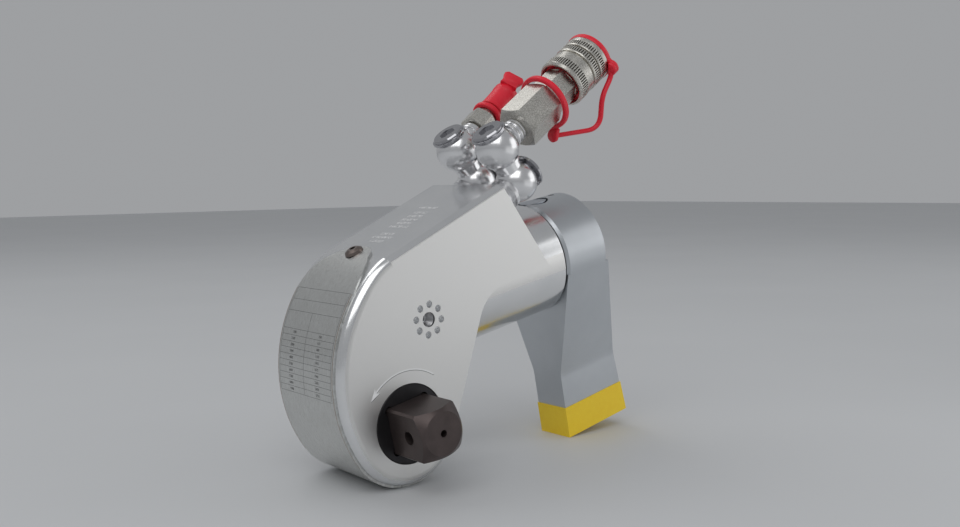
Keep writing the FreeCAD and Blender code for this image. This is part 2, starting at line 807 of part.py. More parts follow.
def drive_plate(side):
    """One of the two plates that swing on the ratchet's journals."""
    y_low, y_high = sorted((side * PLATE_INNER, side * PLATE_OUTER))
    body = plate(belt(Vector(0, 0, 0), PLATE_HUB, LEVER_TOP, PLATE_END), y_low, y_high)
    body = body.fuse(plate(belt(Vector(0, 0, 0), PLATE_HUB, pawl_pivot(), PAWL_BOSS), y_low, y_high))
    body = body.cut(along_y(JOURNAL_RADIUS + RUN, -WIDTH, WIDTH))
    body = body.cut(along_y(LEVER_PIN, -WIDTH, WIDTH, LEVER_TOP.x, LEVER_TOP.z))
    pivot = pawl_pivot()
    return body.cut(along_y(PAWL_PIVOT_PIN, -WIDTH, WIDTH, pivot.x, pivot.z)).removeSplitter()


def lever_pin():
    return along_y(LEVER_PIN - PIN_FIT, -PLATE_OUTER, PLATE_OUTER, LEVER_TOP.x, LEVER_TOP.z)


def pawl_pin():
    pivot = pawl_pivot()
    return along_y(PAWL_PIVOT_PIN - PIN_FIT, -PLATE_OUTER, PLATE_OUTER, pivot.x, pivot.z)


def sector(r_in, r_out, from_angle, to_angle):
    """Ring sector in the lever's frame, as a closed outline."""
    middle = (from_angle + to_angle) / 2
    a, b = lever_polar(r_in, from_angle), lever_polar(r_in, to_angle)
    c, d = lever_polar(r_out, to_angle), lever_polar(r_out, from_angle)
    inner = arc(a, lever_polar(r_in, middle), b)
    outer = arc(c, lever_polar(r_out, middle), d)
    return [inner, line(b, c), outer, line(d, a)]


def cut_by_ratchet(body, pivot, lift):
    """Cut the ratchet's teeth into a pawl, with clearance at every stage of its lift."""
    for turn in (-TOOTH_SWAY, 0.0, TOOTH_SWAY):
        outline = ratchet_outline(TIP_RADIUS + TOOTH_GAP, ROOT_RADIUS + TOOTH_GAP, turn)
        for step in range(LIFT_STEPS + 1):
            wheel = plate(outline, -WIDTH, WIDTH)
            wheel.rotate(pivot, Vector(0, 1, 0), -lift * step / LIFT_STEPS)
            body = body.cut(wheel)
    return body


def drive_pawl():
    """Toothed shoe between the plates, drawn lifted clear of the ratchet."""
    half = RATCHET_HALF - PLATE_GAP
    toothed = sector(ROOT_RADIUS + TOOTH_GAP, PAWL_BACK, PAWL_TEETH_FROM, PAWL_TEETH_TO)
    tail = sector(TIP_RADIUS + PAWL_TAIL_GAP, PAWL_BACK, PAWL_TEETH_TO, PAWL_ANGLE)
    shoe = plate(toothed, -half, half).fuse(plate(tail, -half, half))
    pivot = pawl_pivot()
    shoe = shoe.fuse(along_y(PAWL_EYE, -half, half, pivot.x, pivot.z))
    shoe = cut_by_ratchet(shoe, pivot, PAWL_LIFT)
    shoe = max(shoe.Solids, key=lambda s: s.Volume)
    shoe = shoe.cut(along_y(PAWL_PIVOT_PIN + RUN, -WIDTH, WIDTH, pivot.x, pivot.z))
    room = PAWL_PIVOT_PIN + 4 * SPRING_WIRE
    shoe = shoe.cut(along_y(room, -RATCHET_HALF, -RATCHET_HALF + SPRING_ROOM, pivot.x, pivot.z))
    shoe.rotate(pivot, Vector(0, 1, 0), PAWL_LIFT)
    return shoe.removeSplitter()


def pawl_spring():
    """Torsion spring round the pawl pin, in the recess on the near side of the pawl."""
    pivot = pawl_pivot()
    start = pivot + Vector(0, -RATCHET_HALF + SPRING_WIRE, 0)
    height = SPRING_ROOM - 3 * SPRING_WIRE
    return coil(PAWL_PIVOT_PIN + 2 * SPRING_WIRE, SPRING_WIRE, SPRING_TURNS, height, start, Vector(0, 1, 0))


def holding_pawl():
    """Strut that stops the ratchet turning back, drawn lifted clear."""
    half = RATCHET_HALF - PLATE_GAP
    pivot = xz(HOLD_PIVOT_X, HOLD_PIVOT_Z)
    strut = plate(belt(pivot, HOLD_EYE, hold_tip(), HOLD_TIP), -half, half)
    strut = cut_by_ratchet(strut, pivot, HOLD_LIFT)
    strut = max(strut.Solids, key=lambda s: s.Volume)
    strut = strut.cut(along_y(HOLD_PIN + RUN, -WIDTH, WIDTH, pivot.x, pivot.z))
    strut.rotate(pivot, Vector(0, 1, 0), HOLD_LIFT)
    return strut


def hold_tip():
    """Centre of the holding pawl's tip when it is seated."""
    reach = TIP_RADIUS + HOLD_TIP_GAP
    return xz(-reach * sind(HOLD_TIP_ANGLE), reach * cosd(HOLD_TIP_ANGLE))


def holding_pin():
    return along_y(HOLD_PIN - PIN_FIT, -HOLD_PIN_HALF, HOLD_PIN_HALF, HOLD_PIVOT_X, HOLD_PIVOT_Z)


def piston():
    front = PISTON_REAR - PISTON_LENGTH
    body = along_x(BORE_RADIUS - RUN, front, PISTON_REAR)
    middle = (front + PISTON_REAR) / 2
    body = body.cut(seal_ring(BORE_RADIUS + OVER, middle - SEAL_WIDTH / 2, middle + SEAL_WIDTH / 2))
    return body.cut(along_x(ROD_SPIGOT, front - OVER, PISTON_REAR + OVER))


def seal_ring(radius, x_low, x_high):
    """Square-section ring round the cylinder's axis, as deep as a seal groove."""
    ring = along_x(radius, x_low, x_high)
    return ring.cut(along_x(BORE_RADIUS - SEAL_DEPTH, x_low - OVER, x_high + OVER))


def piston_seal():
    middle = PISTON_REAR - PISTON_LENGTH / 2
    half = SEAL_WIDTH / 2 - RUN
    return seal_ring(BORE_RADIUS - RUN, middle - half, middle + half)


def piston_rod():
    """Rod with the eye that drives the lever pin; the eye is slotted for its arc."""
    front = PISTON_REAR - PISTON_LENGTH
    rod = along_x(ROD_RADIUS, LEVER_TOP.x + ROD_EYE_NECK, front)
    rod = rod.fuse(along_x(ROD_SPIGOT - PIN_FIT, front, PISTON_REAR - ROD_END_INSET))
    eye = along_y(ROD_EYE, -ROD_EYE_HALF, ROD_EYE_HALF, LEVER_TOP.x, LEVER_TOP.z)
    rod = rod.fuse(eye)
    rise = LEVER_REACH - CYL_HEIGHT
    hole = LEVER_PIN + FREE
    slot = plate(belt(LEVER_TOP, hole, LEVER_TOP + Vector(0, 0, rise + 0.01), hole - 1e-3), -WIDTH, WIDTH)
    return rod.cut(slot).removeSplitter()


def spline_outline(root, tip, gap):
    """Closed outline of the reaction splines in the YZ plane."""
    pitch = 360.0 / SPLINES
    points = []
    for i in range(SPLINES):
        base = i * pitch
        spread = math.degrees(gap / root)
        corners = [(root, -SPLINE_ROOT_SHARE), (tip, -SPLINE_TIP_SHARE)]
        corners += [(tip, SPLINE_TIP_SHARE), (root, SPLINE_ROOT_SHARE)]
        for radius, share in corners:
            angle = base + share * pitch + math.copysign(spread, share)
            points.append(Vector(0, radius * cosd(angle), CYL_HEIGHT + radius * sind(angle)))
    points.append(points[0])
    return Part.Face(Part.makePolygon(points))


def spline_bar(root, tip, gap, x_low, x_high):
    bar = spline_outline(root, tip, gap).extrude(Vector(x_high - x_low, 0, 0))
    bar.translate(Vector(x_low, 0, 0))
    return bar


def end_cap():
    """Cylinder end cap: screwed spigot, flange and the boss with the reaction splines."""
    spigot = along_x(BORE_RADIUS - RUN, BARREL_END - CAP_SCREW_LENGTH, BARREL_END)
    flange = along_x(BOSS_ROOT, BARREL_END, ARM_START + FREE)
    boss = spline_bar(BOSS_ROOT, BOSS_TIP, 0.0, ARM_START + FREE, BOSS_END)
    lip = along_x(BARREL_RADIUS - LIP_INSET, BARREL_END, BARREL_END + LIP)
    cap = fused([spigot, flange, boss, lip])
    floor = xz(BOSS_END - CAP_RECESS_DEPTH, CYL_HEIGHT)
    cap = cap.cut(placed(hexagon(CAP_RECESS, 0, CAP_RECESS_DEPTH), floor, Vector(1, 0, 0)))
    return cap.cut(seal_ring(BORE_RADIUS + OVER, CAP_SEAL_X, CAP_SEAL_X + SEAL_WIDTH))


def cap_seal():
    return seal_ring(BORE_RADIUS - RUN, CAP_SEAL_X + RUN, CAP_SEAL_X + SEAL_WIDTH - RUN)


def leg_front_view():
    """Leg outline across the tool: tangent to the hub, tapering to the foot's width."""
    knee = Vector(0, FOOT_HALF, LEG_KNEE)
    reach = math.hypot(knee.y, CYL_HEIGHT - knee.z)
    tilt = math.atan2(knee.y, CYL_HEIGHT - knee.z) + math.acos(ARM_RADIUS / reach)
    touch = Vector(0, ARM_RADIUS * math.sin(tilt), CYL_HEIGHT - ARM_RADIUS * math.cos(tilt))
    turn = math.atan2(touch.y - knee.y, touch.z - knee.z)
    back = KNEE_BLEND * math.tan(turn / 2)
    along = (touch - knee).normalize()
    upper = knee + along * back
    lower = knee - Vector(0, 0, back)
    centre = lower + Vector(0, KNEE_BLEND, 0)
    middle = centre + ((upper - centre) + (lower - centre)).normalize() * KNEE_BLEND
    foot = Vector(0, FOOT_HALF, FOOT_BOTTOM)
    half = [line(touch, upper), arc(upper, middle, lower), line(lower, foot)]
    other = [edge.mirror(Vector(0, 0, 0), Vector(0, 1, 0)) for edge in half]
    top = Vector(0, 0, CYL_HEIGHT)
    close = [line(foot, across_mid_plane(foot)), line(touch, top), line(top, across_mid_plane(touch))]
    return Part.Face(Part.Wire(Part.__sortEdges__(half + other + close)))


def leg_side_view(grow=0.0):
    """Leg outline along the tool, from the hub's axis down to the foot."""
    points = [xz(ARM_START - grow, CYL_HEIGHT), xz(LEG_FRONT_FOOT - grow, FOOT_BOTTOM - grow)]
    points += [xz(LEG_BACK_FOOT + grow, FOOT_BOTTOM - grow), xz(LEG_BACK_KNEE + grow, LEG_KNEE)]
    points += [xz(ARM_END + grow, LEG_SHOULDER), xz(ARM_END + grow, CYL_HEIGHT)]
    return plate(polygon(points), -WIDTH, WIDTH)


def reaction_arm():
    """Splined hub and tapering leg."""
    hub = along_x(ARM_RADIUS, ARM_START, ARM_END)
    hub = hub.makeChamfer(ARM_EDGE, round_edges(hub))
    arm = hub.fuse(leg_solid()).removeSplitter()
    root = BOSS_ROOT + SPLINE_GAP
    tip = BOSS_TIP + SPLINE_GAP
    arm = arm.cut(spline_bar(root, tip, SPLINE_GAP, ARM_START - OVER, ARM_END + OVER))
    for radius, x, depth in (
        (LATCH_RECESS, LATCH_X, LATCH_DEPTH),
        (LATCH_STEM + RUN, LATCH_X, LATCH_STEM_DEPTH),
        (DETENT_RADIUS, DETENT_X, DETENT_DEPTH),
    ):
        arm = arm.cut(Part.makeCylinder(radius, ARM_RADIUS, xz(x, CROWN - depth), Vector(0, 0, 1)))
    return arm


def leg_solid():
    return leg_front_view().extrude(Vector(2 * ARM_END, 0, 0)).common(leg_side_view())


def foot_dip():
    """Yellow plastic-dipped tip over the foot, open at the top like a shoe."""
    low = FOOT_BOTTOM - DIP_THICK
    half = FOOT_HALF + DIP_THICK
    shoe = Part.makeBox(2 * ARM_END, 2 * half, DIP_HEIGHT + DIP_THICK, Vector(0, -half, low))
    return shoe.common(leg_side_view(DIP_THICK)).cut(leg_solid())


def latch_button():
    """Round release button with a stem, set in its recess in the arm's hub."""
    top = CROWN - LATCH_SINK
    head = Part.makeCylinder(LATCH_RADIUS, LATCH_HEAD, xz(LATCH_X, top - LATCH_HEAD), Vector(0, 0, 1))
    foot = xz(LATCH_X, top - LATCH_STEM_LENGTH)
    stem = Part.makeCylinder(LATCH_STEM, LATCH_STEM_LENGTH, foot, Vector(0, 0, 1))
    return head.fuse(stem).removeSplitter()


def detent_screw():
    """Slotted set screw behind the button."""
    floor = xz(DETENT_X, CROWN - DETENT_DEPTH)
    pin = Part.makeCylinder(DETENT_RADIUS - RUN, DETENT_LENGTH, floor, Vector(0, 0, 1))
    corner = Vector(DETENT_X - DETENT_RADIUS, -DETENT_SLOT / 2, CROWN - DETENT_SLOT_LEVEL)
    return pin.cut(Part.makeBox(2 * DETENT_RADIUS, DETENT_SLOT, DETENT_DEPTH, corner))


def drive_retainer():
    """Round keeper on the far end of the square drive, with the bore for its button."""
    y_low = HALF + FREE
    bore = RETAINER_BUTTON + RUN
    profile = [(bore, 0), (RETAINER_RADIUS, 0), (RETAINER_RADIUS, RETAINER_THICK - RETAINER_EDGE)]
    profile += [(RETAINER_RADIUS - RETAINER_EDGE, RETAINER_THICK), (bore, RETAINER_THICK)]
    ring = turned(profile, Vector(0, y_low, 0), Vector(0, 1, 0))
    stub = square_bar(RETAINER_STUB, DRIVE_TAIL + SEAT, y_low, 0)
    return ring.fuse(stub.cut(along_y(bore, 0, WIDTH))).removeSplitter()


def retainer_button():
    """Head of the push button in the keeper."""
    y_low = HALF + FREE + BUTTON_SKIRT
    return along_y(RETAINER_BUTTON, y_low, HALF + FREE + RETAINER_THICK + BUTTON_STAND)


def retainer_plunger():
    """Plunger behind the button's head, on the spring in the drive's well."""
    y_high = HALF + FREE + BUTTON_SKIRT
    return along_y(PLUNGER_RADIUS, y_high - PLUNGER_LENGTH, y_high)


def coil(radius, wire, turns, height, origin, direction):
    helix = Part.makeHelix(height / turns, height, radius)
    start = Part.Wire(Part.makeCircle(wire, Vector(radius, 0, 0), Vector(0, 1, 0)))
    spring = Part.Wire(helix.Edges).makePipeShell([start], True, True)
    return placed(spring, origin, direction)


def retainer_spring():
    start = Vector(0, BUTTON_FLOOR + BUTTON_SPRING_LIFT, 0)
    height = BUTTON_SPRING_HEIGHT
    return coil(BUTTON_SPRING_RADIUS, SPRING_WIRE, SPRING_TURNS, height, start, Vector(0, 1, 0))


def port_post(side):
    """Fixed banjo stem: screwed foot, hex collar and the journal for the lower ball."""
    base = side_point(PORT_BASE, side)
    collar = placed(hexagon(POST_HEX, SEAT, POST_HEX_LENGTH, POST_HEX_BEVEL), base, NORMAL)
    screw = POST_SCREW - RUN
    foot = POST_TIP_ROOM - POST_SCREW_DEPTH
    end = PORT_REACH + LOWER_FLAT + JOURNAL_END
    outline = [(0, foot), (screw, foot), (screw, 0), (POST_RADIUS, 0), (POST_RADIUS, end), (0, end)]
    stem = turned(outline, base, NORMAL)
    flange_top = PORT_REACH - LOWER_FLAT - SEAT
    flange_low = flange_top - POST_FLANGE_THICK
    ring = [(0, POST_HEX_LENGTH), (POST_BODY, POST_HEX_LENGTH), (POST_BODY, flange_low)]
    ring += [(POST_FLANGE, flange_low), (POST_FLANGE, flange_top), (0, flange_top)]
    return fused([stem, collar, turned(ring, base, NORMAL)])


def ball(centre, radius, flat, direction, bore):
    """Ball with two flats across its bore."""
    body = Part.makeSphere(radius)
    slab = Part.makeCylinder(radius + OVER, 2 * flat, Vector(0, 0, -flat))
    body = body.common(slab)
    body = body.cut(Part.makeCylinder(bore, 4 * radius, Vector(0, 0, -2 * radius)))
    return placed(body, centre, direction)


def swivel_directions(side):
    """Stem direction and fitting direction of one swivel."""
    if side == "near":
        return UP_SLOPE, NORMAL
    turn = Rotation(UP_SLOPE, FAR_YAW)
    return UP_SLOPE, turn.multVec(NORMAL)


def lower_ball(side):
    centre = side_point(BALL_LOW, side)
    body = ball(centre, LOWER_BALL, LOWER_FLAT, NORMAL, POST_RADIUS + RUN)
    low = POST_RADIUS + LOWER_NECK_INSET
    neck = [(0, low), (LOWER_NECK, low), (LOWER_NECK, LOWER_NECK_END), (0, LOWER_NECK_END)]
    collar = turned(neck, centre, UP_SLOPE)
    stem_hole = Part.makeCylinder(STEM_SCREW, STEM_SCREW_ROOM, centre + UP_SLOPE * low, UP_SLOPE)
    reach = NORMAL * (2 * LOWER_BALL)
    collar = collar.cut(Part.makeCylinder(POST_RADIUS + RUN, 4 * LOWER_BALL, centre - reach, NORMAL))
    return body.fuse(collar).cut(stem_hole).removeSplitter()


def retaining_cap(centre, flat, direction, journal):
    """Round cap with a hex recess that keeps a ball on its journal."""
    start = flat + SEAT
    top = start + CAP_HEIGHT
    rim = start + CAP_RIM_THICK
    profile = [(0, start + CAP_SOCKET), (journal, start + CAP_SOCKET), (journal, start), (CAP_RIM, start)]
    profile += [(CAP_RIM, rim), (CAP_RADIUS, rim + CAP_STEP), (CAP_RADIUS, top - CAP_EDGE)]
    profile += [(CAP_RADIUS - CAP_EDGE, top), (0, top)]
    body = turned(profile, centre, direction)
    recess = placed(hexagon(CAP_HEX, top - CAP_HEX_DEPTH, CAP_HEIGHT), centre, direction)
    return body.cut(recess)


def lower_cap(side):
    return retaining_cap(side_point(BALL_LOW, side), LOWER_FLAT, NORMAL, POST_RADIUS + SEAT)


def upper_cap(side):
    return retaining_cap(side_point(BALL_HIGH, side), UPPER_FLAT, UP_SLOPE, STEM_RADIUS + SEAT)


def cross_stem(side):
    """Stem screwed into the lower ball; the upper ball turns on its journal."""
    centre = side_point(BALL_HIGH, side)
    foot = POST_RADIUS + LOWER_NECK_INSET + STEM_FOOT_GAP - STEM_REACH
    shoulder_top = -UPPER_FLAT - SEAT
    shoulder_low = -UPPER_FLAT - STEM_SHOULDER_THICK
    end = UPPER_FLAT + JOURNAL_END
    screw = STEM_SCREW - RUN
    profile = [(0, foot), (screw, foot), (screw, shoulder_low), (STEM_SHOULDER, shoulder_low)]
    profile += [(STEM_SHOULDER, shoulder_top), (STEM_RADIUS, shoulder_top), (STEM_RADIUS, end), (0, end)]
    return turned(profile, centre, UP_SLOPE)


def upper_ball(side):
    """Upper ball with the neck that carries the fitting."""
    centre = side_point(BALL_HIGH, side)
    body = ball(centre, UPPER_BALL, UPPER_FLAT, UP_SLOPE, STEM_RADIUS + RUN)
    direction = swivel_directions(side)[1]
    start = STEM_RADIUS + NECK_START_INSET
    profile = [(0, start), (NECK_ROOT, start), (NECK_ROOT, NECK_ROOT_END), (NECK_RADIUS, NECK_GROOVE_START)]
    profile += [(NECK_RADIUS, NECK_GROOVE_END), (NECK_COLLAR, NECK_COLLAR_START)]
    profile += [(NECK_COLLAR, NECK_END - SEAT), (0, NECK_END - SEAT)]
    neck = turned(profile, centre, direction)
    return body.fuse(neck).removeSplitter()


def hex_adapter():
    """Large hexagon that joins the near swivel to its coupler half."""
    centre = side_point(BALL_HIGH, "near")
    body = hexagon(HEX_AF, HEX_START, HEX_LENGTH, HEX_BEVEL, HEX_TURN)
    floor = HEX_START + HEX_LENGTH - HEX_BORE_DEPTH
    bore = Part.makeCylinder(BODY_SPIGOT, HEX_BORE_DEPTH + OVER, Vector(0, 0, floor))
    return placed(body.cut(bore), centre, NORMAL)


def coupler_body():
    """Female coupler half: hexagon, body and bore."""
    centre = side_point(BALL_HIGH, "near")
    start = HEX_START + HEX_LENGTH
    nut = hexagon(BODY_HEX_AF, start + SEAT, SLEEVE_START - start + BODY_HEX_TAIL, HEX_BEVEL, HEX_TURN)
    foot = start - BODY_SPIGOT_LENGTH
    spigot = Part.makeCylinder(BODY_SPIGOT - RUN, BODY_SPIGOT_LENGTH + OVER, Vector(0, 0, foot))
    tube_start = SLEEVE_START + OVER
    tube = Part.makeCylinder(BODY_RADIUS, BODY_END - tube_start, Vector(0, 0, tube_start))
    body = fused([nut, spigot, tube])
    floor = BODY_END - COUPLER_BORE_DEPTH
    body = body.cut(Part.makeCylinder(COUPLER_BORE, COUPLER_BORE_DEPTH + OVER, Vector(0, 0, floor)))
    return placed(body, centre, NORMAL)


def collar_profile():
    """Outer profile of the knurled sleeve with its two grooves."""
    full = COLLAR_RADIUS
    length = COLLAR_END - SLEEVE_START
    recess = full - RECESS_DEPTH
    floor = full - GROOVE_DEPTH
    steps = [(full - COLLAR_EDGE, 0), (full, COLLAR_EDGE), (full, BAND_END)]
    steps += [(recess, RECESS_START), (recess, RECESS_END)]
    for i, (low, high) in enumerate(GROOVES):
        if i:
            steps.append((full, low - GROOVE_SLOPE))
        steps += [(floor, low), (floor, high), (full, high + GROOVE_SLOPE)]
    steps += [(full, length - COLLAR_BACK_EDGE), (full - COLLAR_BACK_EDGE, length)]
    return [(radius, SLEEVE_START + t) for radius, t in steps]


def coupler_sleeve():
    """Knurled sleeve that turns on the coupler body."""
    centre = side_point(BALL_HIGH, "near")
    step = SLEEVE_START + COUNTERBORE_DEPTH
    profile = [(COUNTERBORE, SLEEVE_START)] + collar_profile()
    profile += [(COLLAR_BORE, COLLAR_END), (COLLAR_BORE, step), (COUNTERBORE, step)]
    return turned(profile, centre, NORMAL)


def lug_centre(reach, along):
    """Point beside the near coupler, at a reach from its axis towards the lug."""
    centre = side_point(BALL_HIGH, "near")
    outward = Vector(0, -cosd(LUG_ANGLE), 0) - UP_SLOPE * sind(LUG_ANGLE)
    return centre + NORMAL * along + outward * reach


def near_dust_cap():
    """Rubber plug in the coupler's mouth, with a rim and the lug for its tether."""
    centre = side_point(BALL_HIGH, "near")
    start = COLLAR_END + FREE
    end = start + CAP_FLANGE_THICK
    tip = start - PLUG_LENGTH
    profile = [(0, tip), (PLUG_RADIUS, tip), (PLUG_RADIUS, start), (CAP_FLANGE, start)]
    profile += [(CAP_FLANGE, end - CAP_FLANGE_EDGE), (CAP_FLANGE - CAP_FLANGE_EDGE, end), (0, end)]
    cap = turned(profile, centre, NORMAL)
    lug = Part.makeCylinder(LUG_RADIUS, LUG_THICK, lug_centre(LUG_REACH, start), NORMAL)
    return cap.fuse(lug).removeSplitter()


def loose_ring():
    """Rubber ring that hangs round the hexagon, with the tab that takes the tether."""
    centre = side_point(BALL_HIGH, "near") + NORMAL * RING_AT - UP_SLOPE * RING_SINK
    axis = NORMAL * cosd(RING_TILT) - UP_SLOPE * sind(RING_TILT)
    ring = placed(Part.makeTorus(RING_SIZE, RING_SECTION), centre, axis)
    down = NORMAL * -sind(RING_TILT) - UP_SLOPE * cosd(RING_TILT)
    low = centre + down * (RING_SIZE + TAB_WEB_INSET)
    end = tether_points()[-1]
    across = (end - low).cross(Vector(0, 1, 0)).normalize()
    tab = Part.makeCylinder(TAB_RADIUS, TAB_THICK, end - across * (TAB_THICK / 2), across)
    web = flat_bar(low, end, across, TAB_WEB_HALF, TAB_THICK)
    hole = Part.makeCylinder(TAB_HOLE, 2 * TAB_THICK, end - across * TAB_THICK, across)
    return ring.fuse(tab).fuse(web).cut(hole).removeSplitter()


def flat_bar(start, end, across, half_width, thick):
    """Flat bar between two points."""
    along = end - start
    side = along.cross(across).normalize() * half_width
    corners = [start + side, end + side, end - side, start - side, start + side]
    face = Part.Face(Part.makePolygon([corner - across * (thick / 2) for corner in corners]))
    return face.extrude(across * thick)


def tether_points():
    return [Vector(*point) for point in TETHER_ROUTE]


def tether():
    """Rubber tether: straight runs with tangent arcs at the corners of its route."""
    points = tether_points()
    edges = []
    last = points[0]
    for before, corner, after in zip(points, points[1:], points[2:]):
        back = before - corner
        on = after - corner
        reach = TETHER_BEND_SHARE * min(back.Length, on.Length)
        half_turn = (math.pi - back.getAngle(on)) / 2
        radius = reach / math.tan(half_turn)
        print("tether arc radius", round(radius, 2))
        start = corner + back.normalize() * reach
        end = corner + on.normalize() * reach
        inward = (start + end) * 0.5 - corner
        centre = corner + inward.normalize() * (radius / math.cos(half_turn))
        middle = centre + (corner - centre).normalize() * radius
        edges += [line(last, start), arc(start, middle, end)]
        last = end
    edges.append(line(last, points[-1]))
    path = Part.Wire(edges)
    direction = points[1] - points[0]
    section = Part.Wire(Part.makeCircle(TETHER_RADIUS, points[0], direction))
    return path.makePipeShell([section], True, False)


def far_fitting():
    """Male nipple on the far swivel: nut, shoulder and tube."""
    centre = side_point(BALL_HIGH, "far")
    direction = swivel_directions("far")[1]
    nut = hexagon(FAR_NUT_AF, FAR_NUT_START, FAR_NUT_LENGTH, HEX_BEVEL, FAR_NUT_TURN)
    end = FAR_NUT_START + FAR_NUT_LENGTH
    step = end + NIPPLE_SHOULDER_LENGTH
    profile = [(0, end - OVER), (NIPPLE_SHOULDER, end - OVER), (NIPPLE_SHOULDER, step)]
    profile += [(NIPPLE_RADIUS, step + NIPPLE_SHOULDER_SLOPE), (NIPPLE_RADIUS, NIPPLE_END), (0, NIPPLE_END)]
    tube = turned(profile, Vector(0, 0, 0), Vector(0, 0, 1))
    neck = Part.makeCylinder(NECK_RADIUS, FAR_NUT_START - NECK_END + OVER, Vector(0, 0, NECK_END))
    return placed(fused([nut, tube, neck]), centre, direction)


def far_dust_cap():
    """Rubber cap over the far nipple, with a flat tab on its end."""
    centre = side_point(BALL_HIGH, "far")
    direction = swivel_directions("far")[1]
    inner = NIPPLE_RADIUS + FREE
    profile = [(inner, FAR_CAP_START), (FAR_CAP_RADIUS, FAR_CAP_START), (FAR_CAP_RADIUS, FAR_CAP_END)]
    profile += [(0, FAR_CAP_END), (0, NIPPLE_END + FREE), (inner, NIPPLE_END + FREE)]
    cap = turned(profile, centre, direction)
    base = centre + direction * (FAR_CAP_END - FAR_TAB_INSET)
    end = base + direction * FAR_TAB_LENGTH
    width = Vector(0, FAR_TAB_WIDTH / 2, 0)
    corners = [base - width, base + width, end + width, end - width * FAR_TAB_TAPER, base - width]
    up = direction.cross(Vector(0, 1, 0)).normalize()
    tab = Part.Face(Part.makePolygon([c - up * (TAB_THICK / 2) for c in corners])).extrude(up * TAB_THICK)
    return cap.fuse(tab).removeSplitter()


def far_cap_ring():
    centre = side_point(BALL_HIGH, "far")
    direction = swivel_directions("far")[1]
    ring = Part.makeTorus(FAR_RING_SIZE, FAR_RING_SECTION, Vector(0, 0, FAR_RING_AT))
    return placed(ring, centre, direction)


def stance_pitch():
    """Angle by which the tool is turned to rest on its head and foot."""
    foot = Vector(LEG_FRONT_FOOT - DIP_THICK, 0, FOOT_BOTTOM - DIP_THICK)
    reach = foot.Length
    below = math.degrees(math.atan2(-foot.z, foot.x))
    return below - math.degrees(math.asin((HEAD_RADIUS + STRAP_THICK) / reach))


def all_parts():
    parts = {
        "housing": housing(),
        "shroud_strap": shroud_strap(),
        "strap_screws": strap_screws(),
        "drive_bushings": drive_bushings(),
        "square_drive": square_drive(),
        "drive_sleeve_near": drive_sleeve(-1),
        "drive_sleeve_far": drive_sleeve(1),
        "ratchet_wheel": ratchet_wheel(),
        "drive_plate_near": drive_plate(-1),
        "drive_plate_far": drive_plate(1),
        "lever_pin": lever_pin(),
        "pawl_pin": pawl_pin(),
        "drive_pawl": drive_pawl(),
        "pawl_spring": pawl_spring(),
        "holding_pawl": holding_pawl(),
        "holding_pawl_pin": holding_pin(),
        "piston": piston(),
        "piston_seal": piston_seal(),
        "piston_rod": piston_rod(),
        "end_cap": end_cap(),
        "end_cap_seal": cap_seal(),
        "reaction_arm": reaction_arm(),
        "foot_dip": foot_dip(),
        "latch_button": latch_button(),
        "detent_screw": detent_screw(),
        "drive_retainer": drive_retainer(),
        "retainer_button": retainer_button(),
        "retainer_plunger": retainer_plunger(),
        "retainer_spring": retainer_spring(),
        "hex_adapter": hex_adapter(),
        "coupler_body": coupler_body(),
        "coupler_sleeve": coupler_sleeve(),
        "near_dust_cap": near_dust_cap(),
        "loose_ring": loose_ring(),
        "tether": tether(),
        "far_nipple": far_fitting(),
        "far_dust_cap": far_dust_cap(),
        "far_cap_ring": far_cap_ring(),
    }
    for side in SIDES:
        parts["port_post_" + side] = port_post(side)
        parts["lower_ball_" + side] = lower_ball(side)
        parts["lower_cap_" + side] = lower_cap(side)
        parts["cross_stem_" + side] = cross_stem(side)
        parts["upper_ball_" + side] = upper_ball(side)
        parts["upper_cap_" + side] = upper_cap(side)
    return parts


def main():
    os.makedirs("parts", exist_ok=True)
    pitch = stance_pitch()
    for name, shape in all_parts().items():
        shape.rotate(Vector(0, 0, 0), Vector(0, 1, 0), -pitch)
        if not shape.isValid() or not shape.Solids:
            print("not a valid solid:", name)
        shape.exportStep(os.path.join("parts", name + ".step"))
        print(name, len(shape.Solids), round(shape.Volume, 1))
    print("stance pitch", round(pitch, 3))


main()
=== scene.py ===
import json
import math

import bmesh
import bpy
from mathutils import Matrix, Vector

